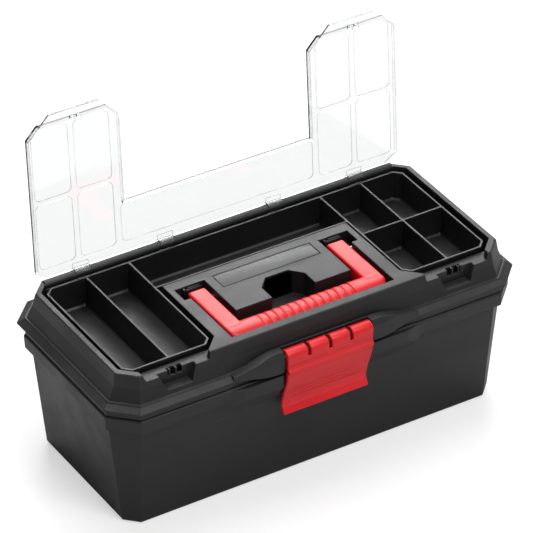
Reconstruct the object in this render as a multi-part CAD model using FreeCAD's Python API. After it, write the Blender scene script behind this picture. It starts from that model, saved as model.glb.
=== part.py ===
import FreeCAD, Part
import os

Vector = FreeCAD.Vector
X_AXIS = Vector(1, 0, 0)

# Frame: +X to the right, -Y is the latch side, +Z up. The origin is the middle of the tub's underside.

# --- Overall sizes, mm -------------------------------------------------------------------------
LENGTH = 400.0             # over the lid's flange, end to end
FRONT_REACH = 92.1         # from the middle of the tub to the flange's front edge
BACK_REACH = 97.9          # from the middle of the tub to the flange's back edge
SEAM_HEIGHT = 115.0        # floor to the tub rim that carries the lid
LID_HEIGHT = 37.1          # tub rim to the top of the lid's ring
WALL = 2.2                 # moulded wall of the tub and the lid
FLANGE_CORNER = 22.1       # chamfer of the flange's corners, seen from above

# --- Tub ---------------------------------------------------------------------------------------
RIM_SETBACK = 2.0          # rim inside the lid's flange, at the front and the ends
HINGE_SETBACK = 7.5        # rim inside the lid's flange, at the back
BAND_HEIGHT = 13.0         # depth of the rim's outer band
BAND_OUT_ENDS = 5.0        # band proud of the tub wall, at the ends
BAND_OUT_SIDES = 7.0       # band proud of the tub wall, at the front and the back
DRAFT_ENDS = 11.3          # how far the end walls lean out, floor to band
DRAFT_SIDES = 7.9          # how far the long walls lean out, floor to band
FLOOR_CORNER = 11.5        # chamfer of the floor's corners, seen from above
LIP_HEIGHT = 4.0           # inner lip above the rim, inside the lid's skirt
LIP_SETBACK = 0.4          # lip inside the line of the tub's walls
FOOT_ROUND = 2.2           # rounding under the walls
LOBE_DROP = 14.0           # lobes beside the latch, below the band
LOBE_HALF = 75.0           # half the width of the lobes at their foot
LOBE_SHOULDER = 22.0       # length of each lobe's S-shaped shoulder
LOBE_OUT = 3.9             # pad under the latch proud of the rim band

# --- Lid ---------------------------------------------------------------------------------------
SKIRT_SETBACK = 1.4        # lid skirt inside the tub's rim
SKIRT_WALL = 1.8
SEAT_GAP = 0.8             # lid skirt above the tub's rim
FLANGE_LIFT = 7.6          # flange's lower edge above the rim
FLANGE_EDGE = 1.3          # upright edge of the flange
FLANGE_RISE = 4.7          # sloped band of the flange
FLANGE_WIDTH = 5.6         # flange edge to its crest
CREST_STEP = 1.8           # crest to the foot of the lid's wall
KNEE_RISE = 11.4           # crest to the bend in the lid's wall
RING_BACKSET_ENDS = 14.0   # flange edge to the ring's outer edge
RING_BACKSET_FRONT = 13.2
RING_BACKSET_BACK = 15.2
RING_WIDTH = 5.0
RING_CORNER = 14.6
RING_ROUND = 0.9
WELL_CORNER_BACK = 7.6
WELL_CORNER_FRONT = 6.4
WELL_DEPTH = 30.6          # ring top to the floor under the organiser
WELL_FRONT = 67.0          # middle of the tub to the front wall of the well
SHELF_DROP = 6.6           # front shelves below the ring
SHELF_OUTER_GAP = 12.5     # inside of the ring to the outer end of each front shelf
SHELF_SLOPE_OUTER = 9.0    # run of the shelf's sloped outer end, at the flange
SHELF_SLOPE_INNER = 1.5
SCOOP_DEPTH = 13.0         # finger pocket under the cover's edge
SCOOP_BACK = 75.1          # middle of the tub to the pocket's back
SCOOP_HALF_FLOOR = 12.0
SCOOP_HALF_TOP = 18.0
SNAP_Y = -73.2             # middle of the snap holes
SNAP_HOLE = 4.6            # length of each snap hole
SNAP_DEPTH = 4.4           # front to back of each snap hole
SNAP_LEFTS = (-6.6, -0.4)  # left edges of the two holes, from the end divider
SNAP_SLIT_LEFT = 5.6       # left edge of the slit beside them
SNAP_SLIT = 1.2
SNAP_GAP = 0.7             # peg to hole, all round

# --- Middle panel of the lid and the handle's recess ---------------------------------------------
PANEL_HALF = 90.5
PANEL_BACK = 22.2
PANEL_SHOULDER = 61.5      # where the panel starts to widen towards the front
PANEL_FLARE = 14.0
RECESS_DEPTH = 22.6
RECESS_BACK = 12.0
POCKET_HALF = 85.0
POCKET_FRONT = -5.0
RECESS_HALF = 79.0
RECESS_FRONT = 70.6
ISLAND_HALF = 56.0
ISLAND_FRONT = 39.5
NOTCH_HALF = 21.0          # finger notch behind the grip
NOTCH_BACK = 12.0
NOTCH_CORNER = 10.0
NOTCH_SHOULDER = 23.0
LABEL_HALF = 47.8
LABEL_BACK = 13.3
LABEL_DEPTH = 18.7
LABEL_SINK = 0.6

# --- Carry handle --------------------------------------------------------------------------------
HANDLE_HALF = 76.3
ARM_WIDTH = 16.5
ARM_HEIGHT = 15.0
GRIP_HEIGHT = 18.6
GRIP_DEPTH = 23.4          # front to back
GRIP_Y = -57.6
HANDLE_DROP = 1.4          # handle's top below the ring
PIVOT_Y = -2.0
PIVOT_ROUND = 7.5
RIB_COUNT = 12
RIB_PITCH = 7.4
HANDLE_CORNER = 8.0        # rounding of the front corners, seen from above
RIB_HEIGHT = 1.1
RIB_GROOVE = 0.9
PIVOT_PIN_DIAMETER = 5.0

# --- Organiser insert ----------------------------------------------------------------------------
ORGANISER_GAP = 4.4        # between the ring and the organiser, for the cover's edge
ORGANISER_GAP_BACK = 2.9
ORGANISER_GAP_FRONT = 1.6
ORGANISER_GAP_PANEL = 3.5
ORGANISER_DROP = 2.3       # organiser's rim below the ring
ORGANISER_WALL = 1.7
ORGANISER_TAPER = 1.4
ORGANISER_CORNER = 6.5
ORGANISER_LIFT = 0.3       # organiser above the well's floor
END_DIVIDER_X = 136.0
CROSS_DIVIDER_Y = 3.5

# --- Clear cover ---------------------------------------------------------------------------------
RAIL_RADIUS = 3.9
RAIL_Y = 78.3
RAIL_DROP = 2.3            # rail's middle below the ring top
RAIL_HALF = 172.0
COVER_WALL = 1.6
COVER_LIFT = 0.6           # underside of the closed cover above the rail's middle
COVER_GAP_RING = 2.5
COVER_GAP_PANEL = 1.6
COVER_FRONT = 80.5
COVER_REAR_GAP = 5.0       # rail's middle to the cover's rear edge
COVER_NOTCH_GAP = 1.5
COVER_FOLD = 9.4           # width of the front strip
COVER_SHELF_GAP = 0.5      # front strip above the shelf, closed
COVER_SKIRT = 3.0
COVER_SKIRT_WALL = 1.3
COVER_CORNER_FRONT = 20.0
COVER_OPEN_ANGLE = 94.0
WINDOW_SINK = 0.5
WINDOW_CORNER = 4.5
PEG_LENGTH = 3.6           # snap pegs below the front strip
CLIP_CENTRES = (-135.5, -53.5, 53.5, 135.5)
CLIP_WIDTH = 15.0
CLIP_WALL = 1.7
CLIP_CLEARANCE = 0.3
CLIP_SIDE_GAP = 1.2

# --- Latch ---------------------------------------------------------------------------------------
LATCH_HALF = 41.5
LATCH_SIDE_GAP = 1.3
LATCH_PIN_Y = -92.2
LATCH_PIN_LIFT = 16.6      # pin above the tub's rim
LATCH_PIN_DIAMETER = 3.0
KNUCKLE_RADIUS = 6.0
LATCH_WALL = 2.4
LATCH_RIDGE_DROP = 12.0    # pin to the ridge under the knuckles
LATCH_RIDGE_OUT = 1.8      # ridge proud of the knuckles
LATCH_PANEL_DROP = 15.8    # pin to the top of the slanting panel
LATCH_PANEL_SINK = 0.6     # top of the panel behind the front of the knuckles
LATCH_WAIST_DROP = 48.5    # pin to the panel's deepest place
LATCH_WAIST_SINK = 7.6
LATCH_LIP_SINK = 5.4
LATCH_LENGTH = 60.4        # pin to the lower lip
LUG_WIDTH = 2.2
LUG_EYE = 3.0              # radius of the lid's eyes around the latch pin
LUG_GAP = 0.4
LUG_PITCH = 20.5
SLOT_WALL = 1.4            # lid's wall behind the latch
BULGE_RISE = 8.6           # bulge's crest above the flange's crest
BULGE_OUT = 2.9            # bulge's face proud of the flange's edge
BULGE_DROP = 5.0           # bulge's lower edge below the flange's
BULGE_TOP_WIDTH = 3.0      # bulge's face to the front of its flat crest
BULGE_BEVEL = 4.8          # height of the slope from its face to its crest
BULGE_HALF = 50.0
BULGE_SHOULDER = 40.0
CATCH_RECESS = 3.2         # recess behind the latch
CATCH_RISE = 1.8           # catch ridge proud of the recess
CATCH_GAP = 0.5            # latch rib clear of the ridge's tip
RIB_ROOT = 2.2             # latch rib's root to its tip

# --- Rear hinges ---------------------------------------------------------------------------------
HINGE_Y = 95.0
HINGE_LIFT = 2.0           # hinge line above the tub's rim
HINGE_RADIUS = 3.7
HINGE_PIN_DIAMETER = 3.0
HINGE_CENTRES = (-112.0, 112.0)
HINGE_LUG = 11.0
HINGE_LUG_GAP = 0.5
PIN_CLEARANCE = 0.08

# --- Lift-out tray -------------------------------------------------------------------------------
TRAY_GAP = 1.6             # tray rim inside the tub's wall
TRAY_TOP_GAP = 5.0         # tray rim below the tub's rim
TRAY_DEPTH = 40.0
TRAY_WALL = 1.8
TRAY_RIM = 4.0
TRAY_TAPER = 2.0
TRAY_DIVIDER_X = 92.0
TRAY_GRIP_HALF = 62.0
TRAY_GRIP_THICK = 9.0
TRAY_GRIP_RISE = 6.0
LEDGE_WIDTH = 9.0
LEDGE_LENGTH = 26.0

# --- Levels that follow from the sizes above -------------------------------------------------------
HALF_LENGTH = LENGTH / 2
TOP = SEAM_HEIGHT + LID_HEIGHT
RIM_HALF = HALF_LENGTH - RIM_SETBACK
RIM_FRONT = FRONT_REACH - RIM_SETBACK
RIM_BACK = BACK_REACH - HINGE_SETBACK
BAND_BOTTOM = SEAM_HEIGHT - BAND_HEIGHT
FLANGE_BOTTOM = SEAM_HEIGHT + FLANGE_LIFT
FLANGE_TOP = FLANGE_BOTTOM + FLANGE_EDGE + FLANGE_RISE
KNEE = FLANGE_TOP + KNEE_RISE
WELL_FLOOR = TOP - WELL_DEPTH
SHELF = TOP - SHELF_DROP
RECESS_FLOOR = TOP - RECESS_DEPTH
RAIL_Z = TOP - RAIL_DROP
LATCH_PIN_Z = SEAM_HEIGHT + LATCH_PIN_LIFT
HINGE_Z = SEAM_HEIGHT + HINGE_LIFT
RING_HALF = HALF_LENGTH - RING_BACKSET_ENDS
RING_FRONT = FRONT_REACH - RING_BACKSET_FRONT
RING_BACK = BACK_REACH - RING_BACKSET_BACK
WELL_HALF = RING_HALF - RING_WIDTH
WELL_BACK = RAIL_Y - RAIL_RADIUS
ORGANISER_TOP = TOP - ORGANISER_DROP
HANDLE_TOP = TOP - HANDLE_DROP
PIVOT_Z = HANDLE_TOP - PIVOT_ROUND
GRIP_Z = HANDLE_TOP - GRIP_HEIGHT / 2


# --- Building helpers ------------------------------------------------------------------------------
def octagon(half_x, front, back, corner_front, corner_back=None):
    """Corner points of a rectangle with cut corners, anticlockwise from above."""
    cf = corner_front
    cb = corner_front if corner_back is None else corner_back
    return [(-half_x + cf, -front), (half_x - cf, -front), (half_x, -front + cf), (half_x, back - cb),
            (half_x - cb, back), (-half_x + cb, back), (-half_x, back - cb), (-half_x, -front + cf)]


def wire(points, z):
    """A closed flat outline at height z."""
    corners = [Vector(x, y, z) for x, y in points]
    return Part.makePolygon(corners + corners[:1])


def loft(*sections):
    """A solid with flat sides through (points, z) sections."""
    return Part.makeLoft([wire(points, z) for points, z in sections], True, True)


def prism(points, low, high):
    """An upright solid over a flat outline."""
    return Part.Face(wire(points, low)).extrude(Vector(0, 0, high - low))


def prism_x(points, low, high):
    """A solid along X over (y, z) points."""
    corners = [Vector(low, y, z) for y, z in points]
    return Part.Face(Part.makePolygon(corners + corners[:1])).extrude(Vector(high - low, 0, 0))


def prism_y(points, low, high):
    """A solid along Y over (x, z) points."""
    corners = [Vector(x, low, z) for x, z in points]
    return Part.Face(Part.makePolygon(corners + corners[:1])).extrude(Vector(0, high - low, 0))


def block(x0, x1, y0, y1, z0, z1):
    """A box between two corners."""
    return Part.makeBox(x1 - x0, y1 - y0, z1 - z0, Vector(x0, y0, z0))


def rod(x0, x1, y, z, radius):
    """A round bar along X."""
    return Part.makeCylinder(radius, x1 - x0, Vector(x0, y, z), X_AXIS)


def union(shapes):
    """All shapes as one solid."""
    return shapes[0].multiFuse(shapes[1:]).removeSplitter()


def mirrored(shape):
    """The same shape on the other side of the middle plane X = 0."""
    return shape.mirror(Vector(0, 0, 0), X_AXIS)


def both_sides(shape):
    """A shape and its mirror image."""
    return [shape, mirrored(shape)]


def s_curve(x0, x1, z0, z1):
    """Points of a smooth S-shaped step from (x0, z0) to (x1, z1)."""
    steps = 10
    points = []
    for i in range(steps + 1):
        t = i / steps
        points.append((x0 + (x1 - x0) * t, z0 + (z1 - z0) * t * t * (3 - 2 * t)))
    return points


def save(shape, node):
    """Writes one sub-part's STEP file."""
    shape.exportStep("parts/" + node + ".step")


# --- Tub -------------------------------------------------------------------------------------------
def tub_outline(z, inset):
    """The tub wall's outline at height z, moved in by inset; the walls lean out evenly."""
    rise = z / BAND_BOTTOM
    ends = RIM_HALF - BAND_OUT_ENDS - DRAFT_ENDS * (1 - rise)
    front = RIM_FRONT - BAND_OUT_SIDES - DRAFT_SIDES * (1 - rise)
    back = RIM_BACK - BAND_OUT_SIDES - DRAFT_SIDES * (1 - rise)
    top_corner = FLANGE_CORNER - BAND_OUT_ENDS / 2
    corner = FLOOR_CORNER + (top_corner - FLOOR_CORNER) * rise
    return octagon(ends - inset, front - inset, back - inset, corner - inset * 0.59)


def rim_outline(inset):
    """The outline of the tub's rim band."""
    return octagon(RIM_HALF - inset, RIM_FRONT - inset, RIM_BACK - inset, FLANGE_CORNER - inset * 0.59)


def tub_lobes():
    """The pad under the latch, with an S-shaped shoulder at each end."""
    bottom = BAND_BOTTOM - LOBE_DROP
    right = s_curve(LOBE_HALF, LOBE_HALF + LOBE_SHOULDER, bottom, BAND_BOTTOM + 1)
    left = [(-x, z) for x, z in reversed(right)]
    top = SEAM_HEIGHT - 1
    outline = left + right + [(right[-1][0], top), (left[0][0], top)]
    front = -RIM_FRONT - LOBE_OUT
    slab = prism_y(outline, front, front + 18)
    slab = slab.common(prism(plan_bulge(LOBE_HALF, LOBE_SHOULDER, RIM_FRONT, LOBE_OUT, 18), bottom - 1, SEAM_HEIGHT))
    wall_y = tub_outline(bottom, WALL / 2)[0][1]
    profile = [(wall_y, bottom), (wall_y - 4, bottom), (front + 0.6, BAND_BOTTOM), (front, SEAM_HEIGHT),
               (wall_y, SEAM_HEIGHT)]
    return slab.common(prism_x(profile, -LENGTH, LENGTH))


def catch_recess():
    """The recess in the pad behind the latch."""
    half = LATCH_HALF + LATCH_SIDE_GAP
    front = -RIM_FRONT - LOBE_OUT - 1
    return block(-half, half, front, -RIM_FRONT + CATCH_RECESS, BAND_BOTTOM - LOBE_DROP - 1, SEAM_HEIGHT)


def tub_catch():
    """The ridge that the latch snaps over."""
    z = BAND_BOTTOM - 4
    root = -RIM_FRONT + CATCH_RECESS + 1
    tip = -RIM_FRONT + CATCH_RECESS - CATCH_RISE
    ridge = [(root, z - 2.5), (tip, z - 0.6), (tip, z + 0.6), (root, z + 4)]
    return prism_x(ridge, -LATCH_HALF + 8, LATCH_HALF - 8)


def hinge_knuckle(x0, x1, web):
    """A rear hinge knuckle with the web that carries it."""
    barrel = rod(x0, x1, HINGE_Y, HINGE_Z, HINGE_RADIUS)
    return barrel.fuse(prism_x(web, x0, x1))


def hinge_bore(x0, x1):
    """The hole through a pair of hinge knuckles."""
    return rod(x0, x1, HINGE_Y, HINGE_Z, HINGE_PIN_DIAMETER / 2 + PIN_CLEARANCE)


def tub_hinge_web():
    """The web from the rim band out to a hinge knuckle."""
    root = RIM_BACK - WALL / 2
    low = HINGE_Z - HINGE_RADIUS
    return [(root, low - 7), (root, SEAM_HEIGHT - 0.4), (HINGE_Y, SEAM_HEIGHT - 0.4), (HINGE_Y, low)]


def tray_ledges():
    """Four inner brackets that the lift-out tray's rim rests on."""
    top = SEAM_HEIGHT - TRAY_TOP_GAP - TRAY_RIM
    ledges = []
    for x in (-HALF_LENGTH * 0.55, HALF_LENGTH * 0.55):
        for side in (-1, 1):
            wall = tub_outline(top, WALL / 2)[4][1] if side > 0 else -tub_outline(top, WALL / 2)[0][1]
            profile = [(side * wall, top), (side * (wall - LEDGE_WIDTH), top), (side * (wall - LEDGE_WIDTH), top - 2),
                       (side * wall, top - LEDGE_WIDTH - 2)]
            ledges.append(prism_x(profile, x - LEDGE_LENGTH / 2, x + LEDGE_LENGTH / 2))
    return ledges


def make_tub():
    """The open box with its rim band, lip, lobes, catch and rear knuckles."""
    lip_top = SEAM_HEIGHT + LIP_HEIGHT
    foot = tub_outline(FOOT_ROUND, 0)
    sole = tub_outline(0, FOOT_ROUND * 0.7)
    mid = tub_outline(FOOT_ROUND * 0.3, FOOT_ROUND * 0.25)
    lip = tub_outline(SEAM_HEIGHT, LIP_SETBACK)
    lip_root = SEAM_HEIGHT - LIP_SETBACK
    shell = loft((sole, 0), (mid, FOOT_ROUND * 0.3), (foot, FOOT_ROUND), (tub_outline(lip_root, 0), lip_root),
                 (lip, SEAM_HEIGHT), (lip, lip_top))
    ledge = loft((rim_outline(0.7), BAND_BOTTOM), (rim_outline(0.0), SEAM_HEIGHT - 1.2),
                 (rim_outline(1.0), SEAM_HEIGHT))
    groove = prism(rim_outline(WALL), BAND_BOTTOM - 1, SEAM_HEIGHT - WALL)
    outside = union([shell, ledge.cut(groove), tub_lobes()]).cut(catch_recess()).fuse(tub_catch())
    inside = loft((tub_outline(WALL, WALL), WALL), (tub_outline(lip_top + 1, WALL), lip_top + 1))
    tub = outside.cut(inside)
    webs = []
    for centre in HINGE_CENTRES:
        for side in (-1, 1):
            start = centre + side * (HINGE_LUG * 1.5 + HINGE_LUG_GAP)
            webs.append(hinge_knuckle(start - HINGE_LUG / 2, start + HINGE_LUG / 2, tub_hinge_web()))
    tub = union([tub] + webs + tray_ledges())
    for centre in HINGE_CENTRES:
        tub = tub.cut(hinge_bore(centre - HINGE_LUG * 3, centre + HINGE_LUG * 3))
    return tub


# --- Lid -------------------------------------------------------------------------------------------
def lid_outline(ends, front, back, corner):
    """An outline set in from the flange's edge by the given amounts."""
    return octagon(HALF_LENGTH - ends, FRONT_REACH - front, BACK_REACH - back, corner)


def wall_section(level, inset):
    """The lid wall's outline at one of its levels, moved in by inset."""
    foot = FLANGE_WIDTH + CREST_STEP
    sets = {
        "foot": (foot, foot, foot, FLANGE_CORNER - 3.5),
        "knee": (RING_BACKSET_ENDS - 2, RING_BACKSET_FRONT - 2, RING_BACKSET_BACK - 3, RING_CORNER + 1.2),
        "top": (RING_BACKSET_ENDS, RING_BACKSET_FRONT, RING_BACKSET_BACK, RING_CORNER),
    }
    ends, front, back, corner = sets[level]
    return lid_outline(ends + inset, front + inset, back + inset, corner - inset * 0.59)


def lid_outside():
    """Skirt, flange and sloping wall as one solid."""
    edge = lid_outline(0, 0, 0, FLANGE_CORNER)
    shy = lid_outline(FLANGE_WIDTH - 0.6, FLANGE_WIDTH - 0.6, FLANGE_WIDTH - 0.6, FLANGE_CORNER - 2)
    crest = lid_outline(FLANGE_WIDTH, FLANGE_WIDTH, FLANGE_WIDTH, FLANGE_CORNER - 2.4)
    flange = loft((edge, FLANGE_BOTTOM), (edge, FLANGE_BOTTOM + FLANGE_EDGE),
                  (shy, FLANGE_TOP - 1.2), (crest, FLANGE_TOP))
    body = loft((wall_section("foot", 0), FLANGE_TOP), (wall_section("knee", 0), KNEE),
                (wall_section("top", 0), TOP - RING_ROUND), (wall_section("top", RING_ROUND), TOP))
    skirt = prism(rim_outline(SKIRT_SETBACK), SEAM_HEIGHT + SEAT_GAP, FLANGE_BOTTOM + 1)
    return union([flange, body, skirt])


def well_outline(grow):
    """The inside of the ring, seen from above."""
    return octagon(WELL_HALF + grow, WELL_FRONT + grow, WELL_BACK + grow, WELL_CORNER_FRONT, WELL_CORNER_BACK)


def panel_outline(grow):
    """The raised middle panel, seen from above; it widens towards the front."""
    half = PANEL_HALF + grow
    wide = half + PANEL_FLARE
    end = PANEL_SHOULDER + PANEL_FLARE
    front = FRONT_REACH
    return [(-wide, -front), (wide, -front), (wide, -end), (half, -PANEL_SHOULDER),
            (half, PANEL_BACK + grow), (-half, PANEL_BACK + grow), (-half, -PANEL_SHOULDER), (-wide, -end)]


def recess_outline(grow):
    """The handle's recess with its two wider pivot pockets."""
    back = RECESS_BACK + grow
    pocket = POCKET_HALF + grow
    half = RECESS_HALF + grow
    step = POCKET_FRONT - grow
    front = -RECESS_FRONT - grow
    return [(-half, front), (half, front), (half, step), (pocket, step), (pocket, back),
            (-pocket, back), (-pocket, step), (-half, step)]


def island_outline(grow):
    """The plate between the handle's arms, with the finger notch in its front edge."""
    half = ISLAND_HALF + grow
    front = -ISLAND_FRONT - grow
    notch = NOTCH_HALF - grow
    back = -NOTCH_BACK + grow
    return [(-half, front), (-notch, front), (-notch, -NOTCH_SHOULDER), (-notch + NOTCH_CORNER, back),
            (notch - NOTCH_CORNER, back), (notch, -NOTCH_SHOULDER), (notch, front), (half, front),
            (half, RECESS_BACK + 20), (-half, RECESS_BACK + 20)]


def lid_hollow():
    """The space under the lid: behind the walls, and under the middle panel."""
    low = SEAM_HEIGHT - 5
    ceiling = SHELF - WALL
    part_way = wall_section("knee", WALL)
    skirt_inside = rim_outline(SKIRT_SETBACK + SKIRT_WALL)
    behind_walls = loft((skirt_inside, low), (skirt_inside, FLANGE_BOTTOM + 3),
                        (wall_section("foot", WALL), FLANGE_TOP + 1), (part_way, KNEE), (part_way, ceiling))
    deck = prism(well_outline(WALL), low - 1, TOP)
    panel_room = prism(panel_outline(-WALL), low, TOP - WALL)
    inner_limit = prism(wall_section("top", WALL), low, TOP - WALL)
    recess_body = prism(recess_outline(WALL), RECESS_FLOOR - WALL, TOP)
    island_room = prism(island_outline(-WALL), RECESS_FLOOR - WALL - 1, TOP + 1)
    recess_body = recess_body.cut(island_room)
    under_panel = panel_room.common(inner_limit).cut(recess_body)
    return behind_walls.cut(deck).fuse(under_panel)


def lid_well_cut():
    """The organiser's well, open at the top."""
    return prism(well_outline(0), WELL_FLOOR, TOP + 5).cut(prism(panel_outline(0), WELL_FLOOR - 5, TOP + 10))


def shelf_cut():
    """The lowered front shelf on the right, with sloped ends."""
    inner = PANEL_HALF + PANEL_FLARE
    end = -PANEL_SHOULDER - PANEL_FLARE
    knee_x = PANEL_HALF + (WELL_FRONT - PANEL_SHOULDER)
    back = -WELL_FRONT + 0.01
    front = -FRONT_REACH - 5
    outer = WELL_HALF - SHELF_OUTER_GAP
    corner_x = WELL_HALF - WELL_CORNER_FRONT
    corner_y = back - (corner_x - outer)
    slope = SHELF_SLOPE_INNER
    lower = [(inner + slope, end), (inner + slope, front), (outer - SHELF_SLOPE_OUTER, front),
             (outer - 1, corner_y), (corner_x - 1, back), (knee_x + slope * 0.6, back)]
    upper = [(inner, end), (inner, front), (outer, front), (outer, corner_y), (corner_x, back), (knee_x, back)]
    return loft((lower, SHELF), (upper, TOP + 0.01), (upper, TOP + 3))


def scoop_outline(grow, high):
    """The finger pocket's outline seen from the front, wider at its mouth."""
    low = SHELF - SCOOP_DEPTH - grow
    foot = SCOOP_HALF_FLOOR + grow
    mouth = SCOOP_HALF_TOP + grow
    x = END_DIVIDER_X
    return [(x - foot, low), (x + foot, low), (x + mouth, high), (x - mouth, high)]


def finger_scoop():
    """The pocket in the lid's front wall under the edge of the cover, on the right."""
    return prism_y(scoop_outline(0, SHELF + 1), -FRONT_REACH - 5, -SCOOP_BACK)


def scoop_lining():
    """The walls behind the finger pocket."""
    return prism_y(scoop_outline(WALL, SHELF - 0.1), -FRONT_REACH - 5, -SCOOP_BACK + WALL)


def snap_holes():
    """Two small holes and a slit for the cover's snap pegs, on the right shelf."""
    holes = []
    for left, width in ((SNAP_LEFTS[0], SNAP_HOLE), (SNAP_LEFTS[1], SNAP_HOLE), (SNAP_SLIT_LEFT, SNAP_SLIT)):
        x0 = END_DIVIDER_X + left
        holes.append(block(x0, x0 + width, SNAP_Y - SNAP_DEPTH / 2, SNAP_Y + SNAP_DEPTH / 2, SHELF - 6, SHELF + 2))
    return holes


def plan_bulge(half, shoulder, front, out, depth):
    """A bulge seen from above: out beyond the front line over half, easing back to it along each shoulder."""
    right = s_curve(half, half + shoulder, -front - out, -front)
    left = [(-x, y) for x, y in reversed(right)]
    return left + right + [(right[-1][0], -front + depth), (left[0][0], -front + depth)]


def latch_bulge():
    """The raised part of the flange on both sides of the latch."""
    crest = s_curve(BULGE_HALF, BULGE_HALF + BULGE_SHOULDER, FLANGE_TOP + BULGE_RISE, FLANGE_TOP)
    foot = s_curve(BULGE_HALF, BULGE_HALF + BULGE_SHOULDER, FLANGE_BOTTOM - BULGE_DROP, FLANGE_BOTTOM)
    upper = [(-x, z) for x, z in reversed(crest)] + crest
    lower = [(-x, z) for x, z in reversed(foot)] + foot
    outline = upper + list(reversed(lower))
    depth = FLANGE_WIDTH + CREST_STEP
    plan = plan_bulge(BULGE_HALF, BULGE_SHOULDER, FRONT_REACH, BULGE_OUT, depth)
    bulge = prism_y(outline, -FRONT_REACH - BULGE_OUT - 1, -FRONT_REACH + depth)
    bulge = bulge.common(prism(plan, FLANGE_BOTTOM - BULGE_DROP - 1, TOP))
    top = FLANGE_TOP + BULGE_RISE
    front = -FRONT_REACH - BULGE_OUT
    slope = [(front - 1, top - BULGE_BEVEL), (front, top - BULGE_BEVEL), (front + BULGE_TOP_WIDTH, top),
             (front + BULGE_TOP_WIDTH, top + 1), (front - 1, top + 1)]
    return bulge.cut(prism_x(slope, -BULGE_HALF - BULGE_SHOULDER - 1, BULGE_HALF + BULGE_SHOULDER + 1))


def latch_slot():
    """The gap in the bulge and flange that the latch's knuckles turn in."""
    half = LATCH_HALF + LATCH_SIDE_GAP
    back = LATCH_PIN_Y + KNUCKLE_RADIUS + LUG_GAP
    return block(-half, half, -FRONT_REACH - 10, back, FLANGE_BOTTOM - 8, FLANGE_TOP + BULGE_RISE + 1)


def lug_centres():
    """Places of the lid's lugs between the latch's knuckles."""
    return (-LUG_PITCH, 0.0, LUG_PITCH)


def latch_lugs():
    """The lid's lugs that carry the latch pin."""
    back = LATCH_PIN_Y + KNUCKLE_RADIUS + LUG_GAP + 1
    low = LATCH_PIN_Z - LUG_EYE
    high = LATCH_PIN_Z + LUG_EYE
    lugs = []
    for centre in lug_centres():
        x0 = centre - LUG_WIDTH / 2
        x1 = centre + LUG_WIDTH / 2
        lugs.append(rod(x0, x1, LATCH_PIN_Y, LATCH_PIN_Z, LUG_EYE))
        lugs.append(block(x0, x1, LATCH_PIN_Y, back, low, high))
    return lugs


def slot_back_wall():
    """The wall behind the latch, closing the lid where the slot cuts the flange."""
    half = LATCH_HALF + LATCH_SIDE_GAP + WALL
    y0 = LATCH_PIN_Y + KNUCKLE_RADIUS + LUG_GAP
    return block(-half, half, y0, y0 + SLOT_WALL, SEAM_HEIGHT + SEAT_GAP, FLANGE_TOP + 6)


def latch_bore():
    """The hole for the latch pin through the lid's lugs and the ends of the slot."""
    return make_latch_pin()


def clip_pockets():
    """Gaps in the back wall around the rail, where the cover's clips turn."""
    room = RAIL_RADIUS + CLIP_CLEARANCE + CLIP_WALL + 0.8
    half = CLIP_WIDTH / 2 + CLIP_SIDE_GAP
    pockets = []
    for centre in CLIP_CENTRES:
        pockets.append(block(centre - half, centre + half, RAIL_Y - room, RAIL_Y + 12, RAIL_Z - room, TOP + 5))
    return pockets


def rail_trim():
    """The back of the ring, taken away to leave the round rail."""
    return block(-RAIL_HALF, RAIL_HALF, WELL_BACK - 2, BACK_REACH, RAIL_Z - RAIL_RADIUS + 1.2, TOP + 5)


def pivot_bores():
    """Blind bores for the handle's pins in both sides of each pivot pocket."""
    return both_sides(make_handle_pin())


def lid_hinge_web():
    """The web from the flange down to a lid knuckle."""
    return [(HINGE_Y - HINGE_RADIUS, HINGE_Z), (HINGE_Y - HINGE_RADIUS, FLANGE_BOTTOM + 0.5),
            (HINGE_Y + 1.5, FLANGE_BOTTOM + 0.5), (HINGE_Y + HINGE_RADIUS - 0.3, HINGE_Z)]


def label_sink():
    """The shallow blank label field on the island."""
    return block(-LABEL_HALF, LABEL_HALF, LABEL_BACK - LABEL_DEPTH, LABEL_BACK, TOP - LABEL_SINK, TOP + 1)


def make_lid():
    """The moulded lid with its well, handle recess, rail, shelves and lugs."""
    outside = union([lid_outside(), latch_bulge()])
    below = prism(well_outline(WALL), WELL_FLOOR - WALL, FLANGE_BOTTOM + 2)
    lid = union([outside, below]).cut(lid_hollow())
    lid = lid.fuse(union(both_sides(scoop_lining())).common(outside)).fuse(slot_back_wall())
    lid = lid.cut(lid_well_cut())
    for shape in both_sides(shelf_cut()) + both_sides(finger_scoop()):
        lid = lid.cut(shape)
    recess = prism(recess_outline(0), RECESS_FLOOR, TOP + 2).cut(prism(island_outline(0), RECESS_FLOOR - 1, TOP + 3))
    lid = lid.cut(recess).cut(label_sink())
    lid = lid.cut(rail_trim()).fuse(rod(-RAIL_HALF, RAIL_HALF, RAIL_Y, RAIL_Z, RAIL_RADIUS))
    for shape in clip_pockets():
        lid = lid.cut(shape)
    lid = lid.fuse(rod(-RAIL_HALF, RAIL_HALF, RAIL_Y, RAIL_Z, RAIL_RADIUS))
    lid = lid.cut(latch_slot())
    knuckles = []
    for centre in HINGE_CENTRES:
        knuckles.append(hinge_knuckle(centre - HINGE_LUG, centre + HINGE_LUG, lid_hinge_web()))
    lid = union([lid] + latch_lugs() + knuckles)
    for shape in pivot_bores() + [latch_bore()]:
        lid = lid.cut(shape)
    for centre in HINGE_CENTRES:
        lid = lid.cut(rod(centre - HINGE_LUG * 2, centre + HINGE_LUG * 2, HINGE_Y, HINGE_Z, HINGE_PIN_DIAMETER / 2))
    for hole in snap_holes():
        for shape in both_sides(hole):
            lid = lid.cut(shape)
    return lid


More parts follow.
